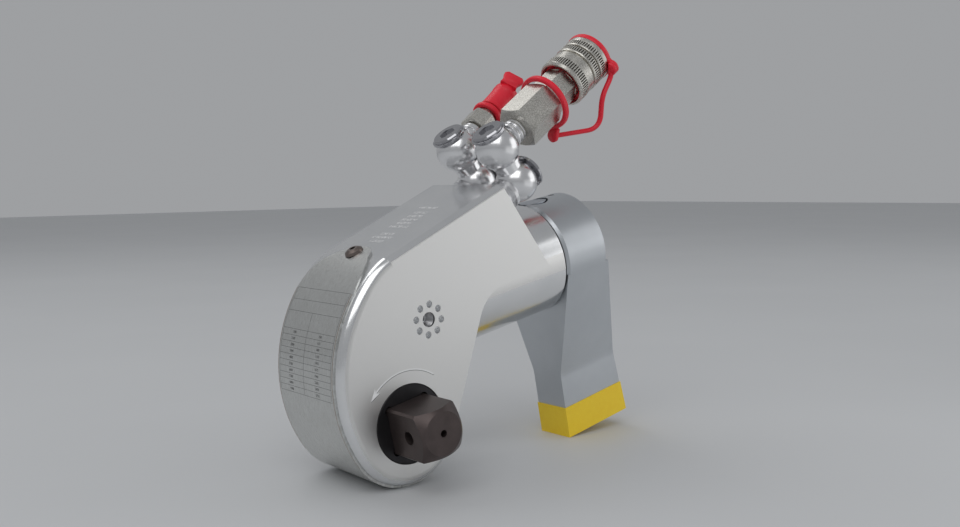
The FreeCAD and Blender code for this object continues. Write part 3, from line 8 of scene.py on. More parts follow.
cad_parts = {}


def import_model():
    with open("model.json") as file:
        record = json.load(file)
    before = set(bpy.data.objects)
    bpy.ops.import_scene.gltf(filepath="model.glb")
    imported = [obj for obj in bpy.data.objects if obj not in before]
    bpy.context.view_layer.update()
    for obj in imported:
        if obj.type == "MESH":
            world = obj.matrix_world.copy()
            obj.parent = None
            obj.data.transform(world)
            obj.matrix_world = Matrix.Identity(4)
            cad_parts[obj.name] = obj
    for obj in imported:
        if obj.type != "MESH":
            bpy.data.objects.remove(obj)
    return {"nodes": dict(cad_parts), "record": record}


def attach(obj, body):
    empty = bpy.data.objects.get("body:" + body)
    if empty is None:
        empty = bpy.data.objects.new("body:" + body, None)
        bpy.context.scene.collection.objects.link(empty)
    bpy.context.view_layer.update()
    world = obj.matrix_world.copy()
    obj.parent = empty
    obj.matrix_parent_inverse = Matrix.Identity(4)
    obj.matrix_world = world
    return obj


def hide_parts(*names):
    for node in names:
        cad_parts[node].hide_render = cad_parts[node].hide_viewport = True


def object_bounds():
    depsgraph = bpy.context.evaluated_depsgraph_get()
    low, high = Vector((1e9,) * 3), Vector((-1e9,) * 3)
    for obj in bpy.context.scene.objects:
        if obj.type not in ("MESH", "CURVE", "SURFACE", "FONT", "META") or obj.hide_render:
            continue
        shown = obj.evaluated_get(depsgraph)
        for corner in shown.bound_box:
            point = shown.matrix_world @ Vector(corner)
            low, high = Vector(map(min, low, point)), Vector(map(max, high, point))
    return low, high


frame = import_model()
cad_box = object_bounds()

# Sizes are in millimetres, and places are in the tool frame: its origin is on the
# drive axis, X runs along the cylinder, Y away from the near side and Z up. The
# row's frame is that frame turned about Y by the pitch at which the tool stands,
# and TO_ROW carries a place into it, in metres.
PITCH = math.radians(11.909)
TO_ROW = Matrix.Rotation(-PITCH, 4, "Y") @ Matrix.Diagonal((0.001, 0.001, 0.001, 1.0))
TO_NEAR = Vector((0.0, -1.0, 0.0))

# Housing: the top face rises to a ridge, and the rear face slopes down from it
HEAD_RADIUS = 33.3
HALF_WIDTH = 33.0
SIDE_SKIN = 0.4
TOP_SLOPE = math.radians(13.9)
TOP_OVER_DRIVE = 85.9
RIDGE_X = 88.2
REAR_SLOPE = math.radians(64.8)
NORMAL = Vector((math.sin(REAR_SLOPE), 0.0, math.cos(REAR_SLOPE)))
UP_SLOPE = Vector((-math.cos(REAR_SLOPE), 0.0, math.sin(REAR_SLOPE)))
HANDLE_HOLE = Vector((23.5, 0.0, 49.6))

# Hose connections: a lower and an upper ball over each port on the rear face
PORT_BELOW_RIDGE = 13.7
LOWER_BALL_HEIGHT = 20.0
BALL_DISTANCE = 24.0
PORT_SIDE = 18.1
FAR_YAW = math.radians(10.0)


def top_height(x):
    """Height of the top face."""
    return TOP_OVER_DRIVE + math.tan(TOP_SLOPE) * x


RIDGE = Vector((RIDGE_X, 0.0, top_height(RIDGE_X)))
LOWER_BALL = RIDGE - UP_SLOPE * PORT_BELOW_RIDGE + NORMAL * LOWER_BALL_HEIGHT
UPPER_BALL = LOWER_BALL + UP_SLOPE * BALL_DISTANCE


def ball_centre(side):
    """Centre of an upper ball: side is -1 for the near connection, 1 for the far one."""
    return UPPER_BALL + Vector((0.0, side * PORT_SIDE, 0.0))


def fitting_direction(side):
    """Direction in which a fitting leaves its upper ball."""
    if side < 0:
        return NORMAL
    return Matrix.Rotation(FAR_YAW, 3, UP_SLOPE) @ NORMAL


def axis_frame(origin, direction, sideways=TO_NEAR):
    """Matrix that puts local Z on a direction and local X sideways, in the tool frame."""
    z = direction.normalized()
    x = (sideways - z * sideways.dot(z)).normalized()
    y = z.cross(x)
    m = Matrix((x, y, z)).transposed().to_4x4()
    m.translation = origin
    return m


def fitting_frame(side, sideways=TO_NEAR):
    """Frame of a fitting, from which its revolved pieces take their distances."""
    return axis_frame(ball_centre(side), fitting_direction(side), sideways)


# Materials


class Nodes:
    """Short way to write a node material."""

    def __init__(self, name):
        self.mat = bpy.data.materials.new(name)
        self.mat.use_nodes = True
        self.tree = self.mat.node_tree
        self.bsdf = self.tree.nodes["Principled BSDF"]

    def node(self, kind, **settings):
        n = self.tree.nodes.new(kind)
        for key, value in settings.items():
            setattr(n, key, value)
        return n

    def link(self, a, b):
        self.tree.links.new(a, b)

    def coords(self):
        """Object coordinates in millimetres, turned into the tool frame."""
        tex = self.node("ShaderNodeTexCoord")
        turn = self.node("ShaderNodeMapping")
        turn.inputs["Rotation"].default_value = (0.0, PITCH, 0.0)
        turn.inputs["Scale"].default_value = (1000.0, 1000.0, 1000.0)
        self.link(tex.outputs["Object"], turn.inputs["Vector"])
        return turn.outputs["Vector"]

    def stretch(self, vector, factors):
        m = self.node("ShaderNodeVectorMath", operation="MULTIPLY")
        self.link(vector, m.inputs[0])
        m.inputs[1].default_value = factors
        return m.outputs["Vector"]

    def noise(self, vector, scale, detail=3.0, rough=0.55):
        n = self.node("ShaderNodeTexNoise")
        n.inputs["Scale"].default_value = scale
        n.inputs["Detail"].default_value = detail
        n.inputs["Roughness"].default_value = rough
        self.link(vector, n.inputs["Vector"])
        return n.outputs["Fac"]

    def ramp(self, value, stops):
        """Colour ramp through a list of (position, colour)."""
        r = self.node("ShaderNodeValToRGB")
        for element, (position, color) in zip(r.color_ramp.elements, stops):
            element.position = position
            element.color = (*color, 1.0)
        self.link(value, r.inputs["Fac"])
        return r.outputs["Color"]

    def grey(self, value, low, high, start=0.3, end=0.7):
        """Value between low and high, as the input goes from start to end."""
        return self.ramp(value, [(start, (low,) * 3), (end, (high,) * 3)])

    def side_mask(self, coords, beyond):
        """One where a point is further than this from the middle plane."""
        split = self.node("ShaderNodeSeparateXYZ")
        self.link(coords, split.inputs[0])
        away = self.node("ShaderNodeMath", operation="ABSOLUTE")
        self.link(split.outputs["Y"], away.inputs[0])
        mask = self.node("ShaderNodeMath", operation="GREATER_THAN")
        self.link(away.outputs["Value"], mask.inputs[0])
        mask.inputs[1].default_value = beyond
        return mask.outputs["Value"]

    def mix(self, factor, a, b):
        """Mix of two colours, each a tuple or a socket."""
        m = self.node("ShaderNodeMix", data_type="RGBA")
        self.link(factor, m.inputs["Factor"])
        for key, value in (("A", a), ("B", b)):
            socket = [s for s in m.inputs if s.name == key and s.type == "RGBA"][0]
            if isinstance(value, tuple):
                socket.default_value = (*value, 1.0)
            else:
                self.link(value, socket)
        return [s for s in m.outputs if s.type == "RGBA"][0]

    def bump(self, height, distance, strength, after=None):
        """Bump of a height, over another bump's normal if one is given."""
        b = self.node("ShaderNodeBump")
        b.inputs["Distance"].default_value = distance
        b.inputs["Strength"].default_value = strength
        self.link(height, b.inputs["Height"])
        if after is not None:
            self.link(after, b.inputs["Normal"])
        return b.outputs["Normal"]

    def finish(self, metallic, color, rough, normal=None, spec=None):
        """Sets the shader's sockets and returns the material."""
        values = {"Metallic": metallic, "Base Color": color, "Roughness": rough, "Normal": normal,
                  "Specular IOR Level": spec}
        for name, value in values.items():
            socket = self.bsdf.inputs[name]
            if isinstance(value, tuple):
                socket.default_value = (*value, 1.0)
            elif isinstance(value, float):
                socket.default_value = value
            elif value is not None:
                self.link(value, socket)
        return self.mat


def aluminium_housing():
    """Polished nose and top, finely blasted side faces."""
    m = Nodes("housing_aluminium")
    co = m.coords()
    side = m.side_mask(co, HALF_WIDTH - SIDE_SKIN)
    grain = m.noise(co, 6.0, 2.0, 0.7)
    cloud = m.noise(co, 0.05)
    brushed = m.noise(m.stretch(co, (0.25, 8.0, 8.0)), 1.0, 2.0)
    plain = m.ramp(cloud, [(0.3, (0.76, 0.77, 0.78)), (0.7, (0.81, 0.815, 0.82))])
    satin = m.ramp(grain, [(0.3, (0.77, 0.765, 0.75)), (0.7, (0.82, 0.815, 0.80))])
    color = m.mix(side, plain, satin)
    rough = m.mix(side, m.grey(brushed, 0.16, 0.24), m.grey(grain, 0.34, 0.42))
    normal = m.bump(brushed, 0.000003, 0.4, m.bump(grain, 0.000004, 0.5))
    return m.finish(1.0, color, rough, normal)


def brushed_strap():
    """Thin strip metal, brushed along its length."""
    m = Nodes("strap_brushed")
    co = m.coords()
    lines = m.noise(m.stretch(co, (0.35, 9.0, 0.35)), 1.0, 2.0, 0.6)
    cloud = m.noise(co, 0.06)
    fine = m.grey(lines, 0.0, 1.0, 0.35, 0.65)
    bright = m.mix(cloud, (0.66, 0.67, 0.66), (0.76, 0.77, 0.76))
    color = m.mix(fine, (0.52, 0.52, 0.50), bright)
    return m.finish(1.0, color, m.grey(lines, 0.26, 0.38), m.bump(lines, 0.000012, 0.7))


def black_oxide(name, base, worn):
    """Oiled black oxide, cloudy between two tints."""
    m = Nodes(name)
    co = m.coords()
    cloud = m.noise(co, 0.12, 4.0)
    grain = m.noise(co, 5.0, 2.0, 0.7)
    return m.finish(0.75, m.mix(cloud, base, worn), m.grey(grain, 0.30, 0.46), m.bump(grain, 0.000006, 0.5))


def chrome(name, color, low, high):
    """Hard chrome, faintly smeared."""
    m = Nodes(name)
    smear = m.noise(m.coords(), 0.25)
    return m.finish(1.0, color, m.grey(smear, low, high))


def plated(name, dark, bright, low, high):
    """Plated metal with a fine sparkle."""
    m = Nodes(name)
    co = m.coords()
    sparkle = m.noise(co, 1.9, 2.0, 0.8)
    cloud = m.noise(co, 0.2)
    color = m.mix(m.grey(sparkle, 0.0, 1.0, 0.42, 0.60), dark, bright)
    return m.finish(1.0, color, m.grey(cloud, low, high), m.bump(sparkle, 0.00002, 0.7))


def satin_arm():
    """Plated forging with a satin finish."""
    m = Nodes("arm_satin")
    co = m.coords()
    grain = m.noise(co, 4.0, 3.0, 0.7)
    cloud = m.noise(co, 0.04, 4.0)
    color = m.mix(cloud, (0.50, 0.525, 0.55), (0.60, 0.625, 0.65))
    return m.finish(1.0, color, m.grey(grain, 0.30, 0.42), m.bump(grain, 0.000008, 0.5))


def red_rubber():
    """Smooth moulded rubber."""
    m = Nodes("red_rubber")
    co = m.coords()
    grain = m.noise(co, 2.5)
    cloud = m.noise(co, 0.08)
    color = m.mix(cloud, (0.74, 0.010, 0.030), (0.84, 0.020, 0.045))
    return m.finish(0.0, color, m.grey(grain, 0.34, 0.46), m.bump(grain, 0.00002, 0.4), 0.45)


def yellow_dip():
    """Thick plastic dip, slightly uneven."""
    m = Nodes("yellow_dip")
    co = m.coords()
    lumps = m.noise(co, 0.35)
    grain = m.noise(co, 3.0, 2.0)
    color = m.mix(lumps, (0.90, 0.60, 0.015), (0.97, 0.70, 0.03))
    normal = m.bump(grain, 0.00002, 0.4, m.bump(lumps, 0.0002, 0.5))
    return m.finish(0.0, color, m.grey(grain, 0.38, 0.5), normal, 0.5)


def plain_metal(name, color, low, high):
    """Machined metal with faint lines."""
    m = Nodes(name)
    grain = m.noise(m.stretch(m.coords(), (1.0, 6.0, 1.0)), 1.5)
    return m.finish(1.0, color, m.grey(grain, low, high), m.bump(grain, 0.000005, 0.4))


def ink(name, color, rough):
    """Printed or etched marking, a little worn."""
    m = Nodes(name)
    wear = m.noise(m.coords(), 1.2)
    paler = tuple(min(1.0, c * 1.35 + 0.03) for c in color)
    return m.finish(0.0, m.mix(m.grey(wear, 0.0, 0.35), color, paler), rough)


MAT = {
    "polished_aluminium": aluminium_housing(),
    "brushed_strap": brushed_strap(),
    "black_oxide": black_oxide("black_oxide", (0.055, 0.048, 0.050), (0.12, 0.095, 0.10)),
    "hard_chrome": chrome("hard_chrome", (0.80, 0.80, 0.81), 0.21, 0.27),
    "nickel_plate": plated("nickel_plate", (0.44, 0.425, 0.385), (0.78, 0.76, 0.71), 0.26, 0.42),
    "arm_steel": satin_arm(),
    "red_rubber": red_rubber(),
    "yellow_dip": yellow_dip(),
    "screw_steel": plain_metal("screw_steel", (0.20, 0.165, 0.15), 0.25, 0.38),
    "button_steel": plain_metal("button_steel", (0.42, 0.45, 0.50), 0.22, 0.34),
    "bronze": plain_metal("bronze", (0.55, 0.38, 0.18), 0.3, 0.45),
    "tool_steel": plain_metal("tool_steel", (0.40, 0.40, 0.41), 0.25, 0.4),
    "spring_steel": plain_metal("spring_steel", (0.5, 0.5, 0.52), 0.2, 0.3),
    "seal_rubber": red_rubber(),
}
# Dark etched marks; the same material also paints the shadow under each side arrow
ETCHED_AND_ARROW_SHADOW = ink("etched_marks_and_arrow_shadow", (0.05, 0.05, 0.05), 0.5)
WHITE_INK = ink("white_marks", (0.90, 0.90, 0.90), 0.4)
EDGE_TAN = plain_metal("edge_tan", (0.36, 0.25, 0.16), 0.35, 0.5)
# Darker plating laid on the knurl's valleys as painted shade in its slots
KNURL_VALLEY_PAINTED_SHADE = plated("knurl_valley_painted_shade", (0.16, 0.15, 0.13), (0.24, 0.23, 0.20), 0.35, 0.5)

# Nodes whose finish differs a little from that of their slot; the caps' chrome is also darkened as a painted
# reflection of dark surroundings
CAP_CHROME_PAINTED_DARK_REFLECTION = chrome("chrome_painted_dark_reflection", (0.44, 0.44, 0.46), 0.08, 0.14)
BROWN_OXIDE = black_oxide("brown_oxide", (0.062, 0.050, 0.048), (0.125, 0.098, 0.094))
SLEEVE_OXIDE = black_oxide("sleeve_oxide", (0.020, 0.020, 0.022), (0.045, 0.042, 0.044))
NODE_LOOKS = {
    "upper_cap_near": CAP_CHROME_PAINTED_DARK_REFLECTION,
    "upper_cap_far": CAP_CHROME_PAINTED_DARK_REFLECTION,
    "lower_cap_near": CAP_CHROME_PAINTED_DARK_REFLECTION,
    "lower_cap_far": CAP_CHROME_PAINTED_DARK_REFLECTION,
    "square_drive": BROWN_OXIDE,
    "drive_sleeve_near": SLEEVE_OXIDE,
    "drive_sleeve_far": SLEEVE_OXIDE,
}


def dress_nodes():
    """Gives every CAD node the finished material of its slot, or its own."""
    slots = {entry["node"]: entry["material_slot"] for entry in frame["record"]["subparts"]}
    for name, obj in frame["nodes"].items():
        obj.data.materials.clear()
        obj.data.materials.append(NODE_LOOKS.get(name, MAT[slots[name]]))


# Making of pieces

REVOLVED_CREASE = 28.0
RUBBER_CREASE = 50.0
THREAD_CREASE = 20.0


def make(name, verts, faces, body, material, smooth=True, place=Matrix.Identity(4)):
    """New piece from vertices in millimetres, in a frame placed in the tool frame."""
    mesh = bpy.data.meshes.new(name)
    to_row = TO_ROW @ place
    mesh.from_pydata([to_row @ Vector(v) for v in verts], [], faces)
    mesh.validate()
    mesh.update()
    for p in mesh.polygons:
        p.use_smooth = smooth
    obj = bpy.data.objects.new(name, mesh)
    bpy.context.scene.collection.objects.link(obj)
    mesh.materials.append(material)
    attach(obj, body)
    return obj


def crease_by_angle(obj, degrees):
    """Sharp edges where faces meet at more than the angle, smooth elsewhere."""
    bm = bmesh.new()
    bm.from_mesh(obj.data)
    bmesh.ops.recalc_face_normals(bm, faces=bm.faces)
    for edge in bm.edges:
        if len(edge.link_faces) == 2:
            edge.smooth = edge.calc_face_angle(0.0) < math.radians(degrees)
    bm.to_mesh(obj.data)
    bm.free()


def revolve(name, profile, place, body, slot, count=96, tooth=None, closed=True, crease=REVOLVED_CREASE):
    """Piece of revolution about local Z.

    A row of the profile is a radius and a distance. A third number is the depth of
    a knurl there, which the tooth's shares scale at each step round the piece.
    """
    verts = []
    for radius, at, *depth in profile:
        for j in range(count):
            angle = 2 * math.pi * j / count
            r = radius - depth[0] * tooth[j % len(tooth)] if depth else radius
            verts.append((r * math.cos(angle), r * math.sin(angle), at))
    faces = []
    rows = len(profile)
    for i in range(rows if closed else rows - 1):
        above = (i + 1) % rows
        for j in range(count):
            beside = (j + 1) % count
            faces.append((i * count + j, i * count + beside, above * count + beside, above * count + j))
    obj = make(name, verts, faces, body, MAT[slot], place=place)
    crease_by_angle(obj, crease)
    return obj


def rubber_slab(name, outline, low, high, edge, place, body):
    """Flat rubber piece between two heights over an outline, with softened edges."""
    count = len(outline)
    mid = [sum(p[i] for p in outline) / count for i in (0, 1)]
    layers = ((low, edge), (low + edge, 0.0), (high - edge, 0.0), (high, edge))
    verts = []
    for at, inset in layers:
        for p in outline:
            away = math.hypot(p[0] - mid[0], p[1] - mid[1])
            k = 1.0 - inset / away
            verts.append((mid[0] + (p[0] - mid[0]) * k, mid[1] + (p[1] - mid[1]) * k, at))
    last = len(layers) - 1
    faces = [tuple(reversed(range(count))), tuple(range(last * count, (last + 1) * count))]
    for i in range(last):
        for j in range(count):
            a = i * count + j
            b = i * count + (j + 1) % count
            faces.append((a, b, b + count, a + count))
    obj = make(name, verts, faces, body, MAT["red_rubber"], place=place)
    crease_by_angle(obj, RUBBER_CREASE)


def tab_outline(reach, radius, root, root_half):
    """Round end at a reach, joined to a root of another width."""
    half_turn, steps = 105.0, 24
    points = [(root, -root_half)]
    for i in range(steps + 1):
        a = math.radians(-half_turn + 2 * half_turn * i / steps)
        points.append((reach + radius * math.cos(a), radius * math.sin(a)))
    points.append((root, root_half))
    return points


# Near fitting: distances are along it, from the centre of its upper ball

# How deep the knurl is at each step of one tooth, as shares of its depth, and the
# steps whose faces lie in the valley, which get a darker plating as painted shade
TEETH = 60
TOOTH = (0.0, 0.0, 0.15, 1.0, 1.0, 0.15)
SHADED_VALLEY_STEPS = (2, 3, 4)
KNURL_DEPTH = 0.85
KNURL_LEAD = 0.1

# The cap's lug leaves sideways, and the loose ring hangs round the hexagon, a little
# off its axis and tilted
LUG_ANGLE = math.radians(33.0)
LUG_OUTWARD = TO_NEAR * math.cos(LUG_ANGLE) - UP_SLOPE * math.sin(LUG_ANGLE)
RING_DISTANCE = 46.0
RING_SAG = 0.8
RING_TILT = math.radians(6.0)
RING_TAB_ROOT = 16.4

# The tether starts in the cap's lug and goes on along a route in the tool frame
TETHER_START = NORMAL * 92.6 + LUG_OUTWARD * 17.2
TETHER_ROUTE = [(188.9, -30.5, 150.6), (180.9, -29.2, 141.0), (178.8, -25.5, 122.2), (149.6, -14.6, 123.6)]
TETHER_HALF_WIDE, TETHER_HALF_THICK = 1.75, 1.45
CORNER_SHARE = 0.45


def knurled_band(radius, start, end):
    """Rows of a band whose teeth begin a little inside its ends."""
    first, last = start + KNURL_LEAD, end - KNURL_LEAD
    return [(radius, start), (radius, first, KNURL_DEPTH), (radius, last, KNURL_DEPTH), (radius, end)]


def coupler_sleeve():
    """Knurled sleeve: three knurled bands, polished rings between grooves, a plain end."""
    mouth = [(13.4, 63.0), (14.3, 63.0), (15.2, 64.3)]
    long_ring = [(15.2, 70.5), (14.75, 70.8), (14.75, 76.4), (14.2, 76.8), (13.7, 77.0), (13.7, 77.6),
                 (14.9, 77.9), (15.1, 78.4)]
    groove = [(14.9, 82.8), (13.9, 83.0), (13.9, 83.7), (14.9, 83.9), (15.05, 84.4)]
    plain_end = [(15.1, 88.8), (15.1, 91.2), (14.5, 91.8), (11.05, 91.8)]
    bore = [(11.05, 69.5), (13.4, 69.0)]
    profile = mouth + knurled_band(15.2, 65.0, 70.1) + long_ring + knurled_band(15.1, 79.0, 82.4)
    profile += groove + knurled_band(15.05, 85.0, 88.4) + plain_end + bore
    around = TEETH * len(TOOTH)
    place = fitting_frame(-1)
    obj = revolve("knurled_sleeve", profile, place, "coupler_sleeve", "nickel_plate", around, TOOTH)
    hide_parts("coupler_sleeve")
    # The valley faces take the darker plating, as painted shade in the knurl's slots
    obj.data.materials.append(KNURL_VALLEY_PAINTED_SHADE)
    cut = [len(row) > 2 for row in profile] + [False]
    for face in obj.data.polygons:
        row, step = divmod(face.index, around)
        if cut[row] and cut[row + 1] and step % len(TOOTH) in SHADED_VALLEY_STEPS:
            face.material_index = 1
    seal = [(10.8, 66.5), (13.2, 66.5), (13.2, 68.6), (10.8, 68.6)]
    revolve("coupler_seal", seal, place, "near_upper_swivel", "red_rubber")


def near_cap():
    """Dust cap of the coupler: plug, thick rounded rim, and the lug as a broad tab on a foot."""
    plug = [(0.0, 79.9), (5.7, 79.9), (5.9, 80.2), (5.9, 91.9)]
    head = [(14.6, 91.9), (15.2, 91.3), (15.42, 91.7), (15.5, 92.4), (15.5, 93.7), (15.2, 94.6), (14.6, 95.1),
            (13.6, 95.3), (0.0, 95.3)]
    rim = revolve("near_cap_rubber", plug + head, fitting_frame(-1), "near_cap", "red_rubber", closed=False)
    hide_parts("near_dust_cap")
    place = fitting_frame(-1, LUG_OUTWARD)
    lug = tab_outline(reach=16.2, radius=4.6, root=11.0, root_half=7.6)
    rubber_slab("near_cap_lug", lug, 91.95, 94.9, 0.6, place, "near_cap")
    foot = tab_outline(reach=16.4, radius=4.4, root=15.5, root_half=4.6)
    rubber_slab("near_cap_lug_foot", foot, 90.2, 93.0, 0.6, place, "near_cap")


def near_ring():
    """Flat rubber band round the hexagon, with the tab that takes the tether."""
    centre = ball_centre(-1) + NORMAL * RING_DISTANCE - UP_SLOPE * RING_SAG
    axis = NORMAL * math.cos(RING_TILT) - UP_SLOPE * math.sin(RING_TILT)
    half = [(14.4, 1.3), (14.8, 1.7), (16.5, 1.7), (17.1, 1.2)]
    section = [(r, -at) for r, at in half] + [(17.2, 0.0)] + [(r, at) for r, at in reversed(half)]
    ring = revolve("near_ring_rubber", section, axis_frame(centre, axis), "near_upper_swivel", "red_rubber")
    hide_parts("loose_ring")
    down = NORMAL * -math.sin(RING_TILT) - UP_SLOPE * math.cos(RING_TILT)
    end = Vector(TETHER_ROUTE[-1])
    back = centre + down * RING_TAB_ROOT - end
    across = back.cross(Vector((0.0, 1.0, 0.0)))
    tab = tab_outline(reach=0.0, radius=3.7, root=-back.length, root_half=3.0)
    rubber_slab("near_ring_tab", tab, -1.4, 1.4, 0.5, axis_frame(end, across, -back), "near_upper_swivel")


def tether_line():
    """Route of the tether, from the cap's lug to the ring's tab, with rounded corners."""
    points = [ball_centre(-1) + TETHER_START] + [Vector(p) for p in TETHER_ROUTE]
    steps = 12
    line = [points[0]]
    for before, corner, after in zip(points, points[1:], points[2:]):
        reach = CORNER_SHARE * min((before - corner).length, (after - corner).length)
        start = corner + (before - corner).normalized() * reach
        end = corner + (after - corner).normalized() * reach
        for k in range(steps + 1):
            t = k / steps
            line.append(start * (1 - t) ** 2 + corner * 2 * t * (1 - t) + end * t * t)
    line.append(points[-1])
    return line


def near_tether():
    """Rubber strand between the cap's lug and the ring's tab, a little wider than it is thick."""
    line = tether_line()
    around = 20
    verts = []
    for i, point in enumerate(line):
        along = (line[min(i + 1, len(line) - 1)] - line[max(i - 1, 0)]).normalized()
        wide = (TO_NEAR - along * TO_NEAR.dot(along)).normalized()
        flat = along.cross(wide)
        for j in range(around):
            a = 2 * math.pi * j / around
            aside = wide * (TETHER_HALF_WIDE * math.cos(a))
            verts.append(point + aside + flat * (TETHER_HALF_THICK * math.sin(a)))
    last = (len(line) - 1) * around
    faces = []
    for i in range(0, last, around):
        for j in range(around):
            a = i + j
            b = i + (j + 1) % around
            faces.append((a, b, b + around, a + around))
    faces.append(tuple(reversed(range(around))))
    faces.append(tuple(range(last, last + around)))
    obj = make("tether_rubber", verts, faces, "near_upper_swivel", MAT["red_rubber"])
    crease_by_angle(obj, RUBBER_CREASE)
    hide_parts("tether")


# Far fitting and the swivels' necks: distances as above


def far_cap():
    """Dust cap of the nipple: lip, slight neck, and the flared flat tab; and its flat ring."""
    lip = [(6.0, 40.3), (7.9, 40.3), (8.2, 40.6), (8.2, 42.4), (7.9, 42.8)]
    wall = [(8.0, 44.0), (7.9, 50.0), (7.9, 56.4), (8.1, 56.8), (8.2, 57.4), (8.2, 60.8), (7.9, 61.6),
            (7.2, 62.0), (0.0, 62.0)]
    inside = [(0.0, 57.0), (6.0, 57.0)]
    cap = revolve("far_cap_rubber", lip + wall + inside, fitting_frame(1), "far_cap", "red_rubber")
    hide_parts("far_dust_cap")
    half = [(61.0, 5.6), (63.0, 5.2), (64.6, 5.5), (66.2, 6.3), (67.2, 6.6), (69.0, 6.6), (70.6, 5.0)]
    outline = [(at, -across) for at, across in half] + [(at, across) for at, across in reversed(half)]
    place = axis_frame(ball_centre(1), TO_NEAR + UP_SLOPE, fitting_direction(1))
    rubber_slab("far_cap_tab", outline, -1.5, 1.5, 0.5, place, "far_cap")
    band = [(7.0, 35.4), (7.4, 34.9), (9.1, 35.0), (9.6, 35.6), (9.7, 36.6), (9.6, 37.6), (9.1, 38.2),
            (7.4, 38.3), (7.0, 37.8)]
    ring = revolve("far_ring_rubber", band, fitting_frame(1), "far_upper_swivel", "red_rubber")
    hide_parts("far_cap_ring")


def swivel_necks():
    """Three bright turned rings round the neck of each upper ball."""
    rings = [(5.0, 11.4), (6.9, 11.4), (7.4, 12.0), (7.5, 12.9), (7.3, 13.6), (6.7, 14.0),
             (6.7, 14.5), (7.2, 14.9), (7.4, 15.8), (7.2, 16.6), (6.7, 16.9),
             (6.7, 17.4), (7.0, 17.7), (7.0, 18.6), (6.7, 18.9), (5.0, 18.9)]
    revolve("near_neck_rings", rings, fitting_frame(-1), "near_upper_swivel", "hard_chrome")
    revolve("far_neck_rings", rings, fitting_frame(1), "far_upper_swivel", "hard_chrome")


def handle_threads():
    """Threads in the tapped handle holes; distances are from the middle plane."""
    pitch, root, crest = 1.0, 3.96, 3.55
    floor, mouth, mouth_radius = 24.6, 32.3, 3.965
    turn = [(root, 0.1), (crest, 0.45), (crest, 0.6), (root, 0.95)]
    profile = [(root, floor)]
    at = floor
    while at + pitch < mouth:
        profile += [(radius, at + step) for radius, step in turn]
        at += pitch
    profile.append((mouth_radius, mouth))
    for name, side in (("handle_thread_near", -1.0), ("handle_thread_far", 1.0)):
        place = axis_frame(HANDLE_HOLE, Vector((0.0, side, 0.0)), Vector((1.0, 0.0, 0.0)))
        revolve(name, profile, place, "housing", "tool_steel", 48, closed=False, crease=THREAD_CREASE)


# Strap markings: the strap follows the nose, so its places are angles about the nose's
# centre, in degrees

NOSE_OFFSET = 44.5
NOSE_ANGLE = math.radians(24.8)
NOSE_X = NOSE_OFFSET * math.cos(NOSE_ANGLE)
NOSE_Z = NOSE_OFFSET * math.sin(NOSE_ANGLE)
STRAP_THICK = 1.2
STRAP_RADIUS = HEAD_RADIUS + NOSE_OFFSET + STRAP_THICK
STRIP_STEP = 0.6
STRIP_LIFT = 0.02
NUMBER_LIFT = 0.03
NUMBER_ROWS = 10
NUMBER_STEP = 2.43
HEADING_ROWS = [134.9, 139.8, 144.5, 151.5]
ROW_ANGLES = HEADING_ROWS + [HEADING_ROWS[-1] + NUMBER_STEP * i for i in range(1, NUMBER_ROWS + 1)]
TABLE_HALF = 26.0
TABLE_MIDDLE = 1.0
HALF_LINE = 0.08
EDGE_START, EDGE_END = 135.0, 204.0
EDGE_OUT, EDGE_WIDE = 27.6, 0.3
STRAP_NUMBER_SIZE = 1.9
# First number, step and place across the strap of each column of numbers
NUMBER_COLUMNS = {"left": (1200, 900, 14.0), "right": (350, 265, -12.3)}


def on_strap(angle, y, lift):
    """Point above the strap's outer face."""
    a = math.radians(angle)
    r = STRAP_RADIUS + lift
    return (NOSE_X + r * math.cos(a), y, NOSE_Z + r * math.sin(a))


def strap_strip(a0, a1, y0, y1):
    """Vertices and faces of a thin strip that follows the strap."""
    count = max(2, int(abs(a1 - a0) / STRIP_STEP) + 1)
    verts = []
    for i in range(count):
        a = a0 + (a1 - a0) * i / (count - 1)
        verts += [on_strap(a, y0, STRIP_LIFT), on_strap(a, y1, STRIP_LIFT)]
    faces = [(k, k + 1, k + 3, k + 2) for k in range(0, 2 * (count - 1), 2)]
    return verts, faces


def make_strips(name, strips, material):
    """One piece, without thickness, from several strips."""
    verts, faces = [], []
    for strip_verts, strip_faces in strips:
        base = len(verts)
        verts += strip_verts
        faces += [tuple(i + base for i in face) for face in strip_faces]
    make(name, verts, faces, "housing", material, False)


def flat_text(words, size):
    """Vertices and faces of centred words, in a plane."""
    curve = bpy.data.curves.new("words", "FONT")
    curve.body = words
    curve.size = size
    curve.align_x = "CENTER"
    curve.align_y = "CENTER"
    curve.resolution_u = 2
    source = bpy.data.objects.new("words", curve)
    bpy.context.scene.collection.objects.link(source)
    bpy.context.view_layer.update()
    mesh = bpy.data.meshes.new_from_object(source.evaluated_get(bpy.context.evaluated_depsgraph_get()))
    verts = [v.co.copy() for v in mesh.vertices]
    faces = [tuple(p.vertices) for p in mesh.polygons]
    bpy.data.objects.remove(source)
    bpy.data.curves.remove(curve)
    bpy.data.meshes.remove(mesh)
    return verts, faces


def strap_number(name, words, angle, y):
    """Plain number wrapped on the strap, read from the nose side."""
    verts, faces = flat_text(words, STRAP_NUMBER_SIZE)
    wrapped = []
    for v in verts:
        down = math.degrees(-v.y / STRAP_RADIUS)
        wrapped.append(on_strap(angle + down, y - v.x, NUMBER_LIFT))
    make(name, wrapped, faces, "housing", ETCHED_AND_ARROW_SHADOW, False)


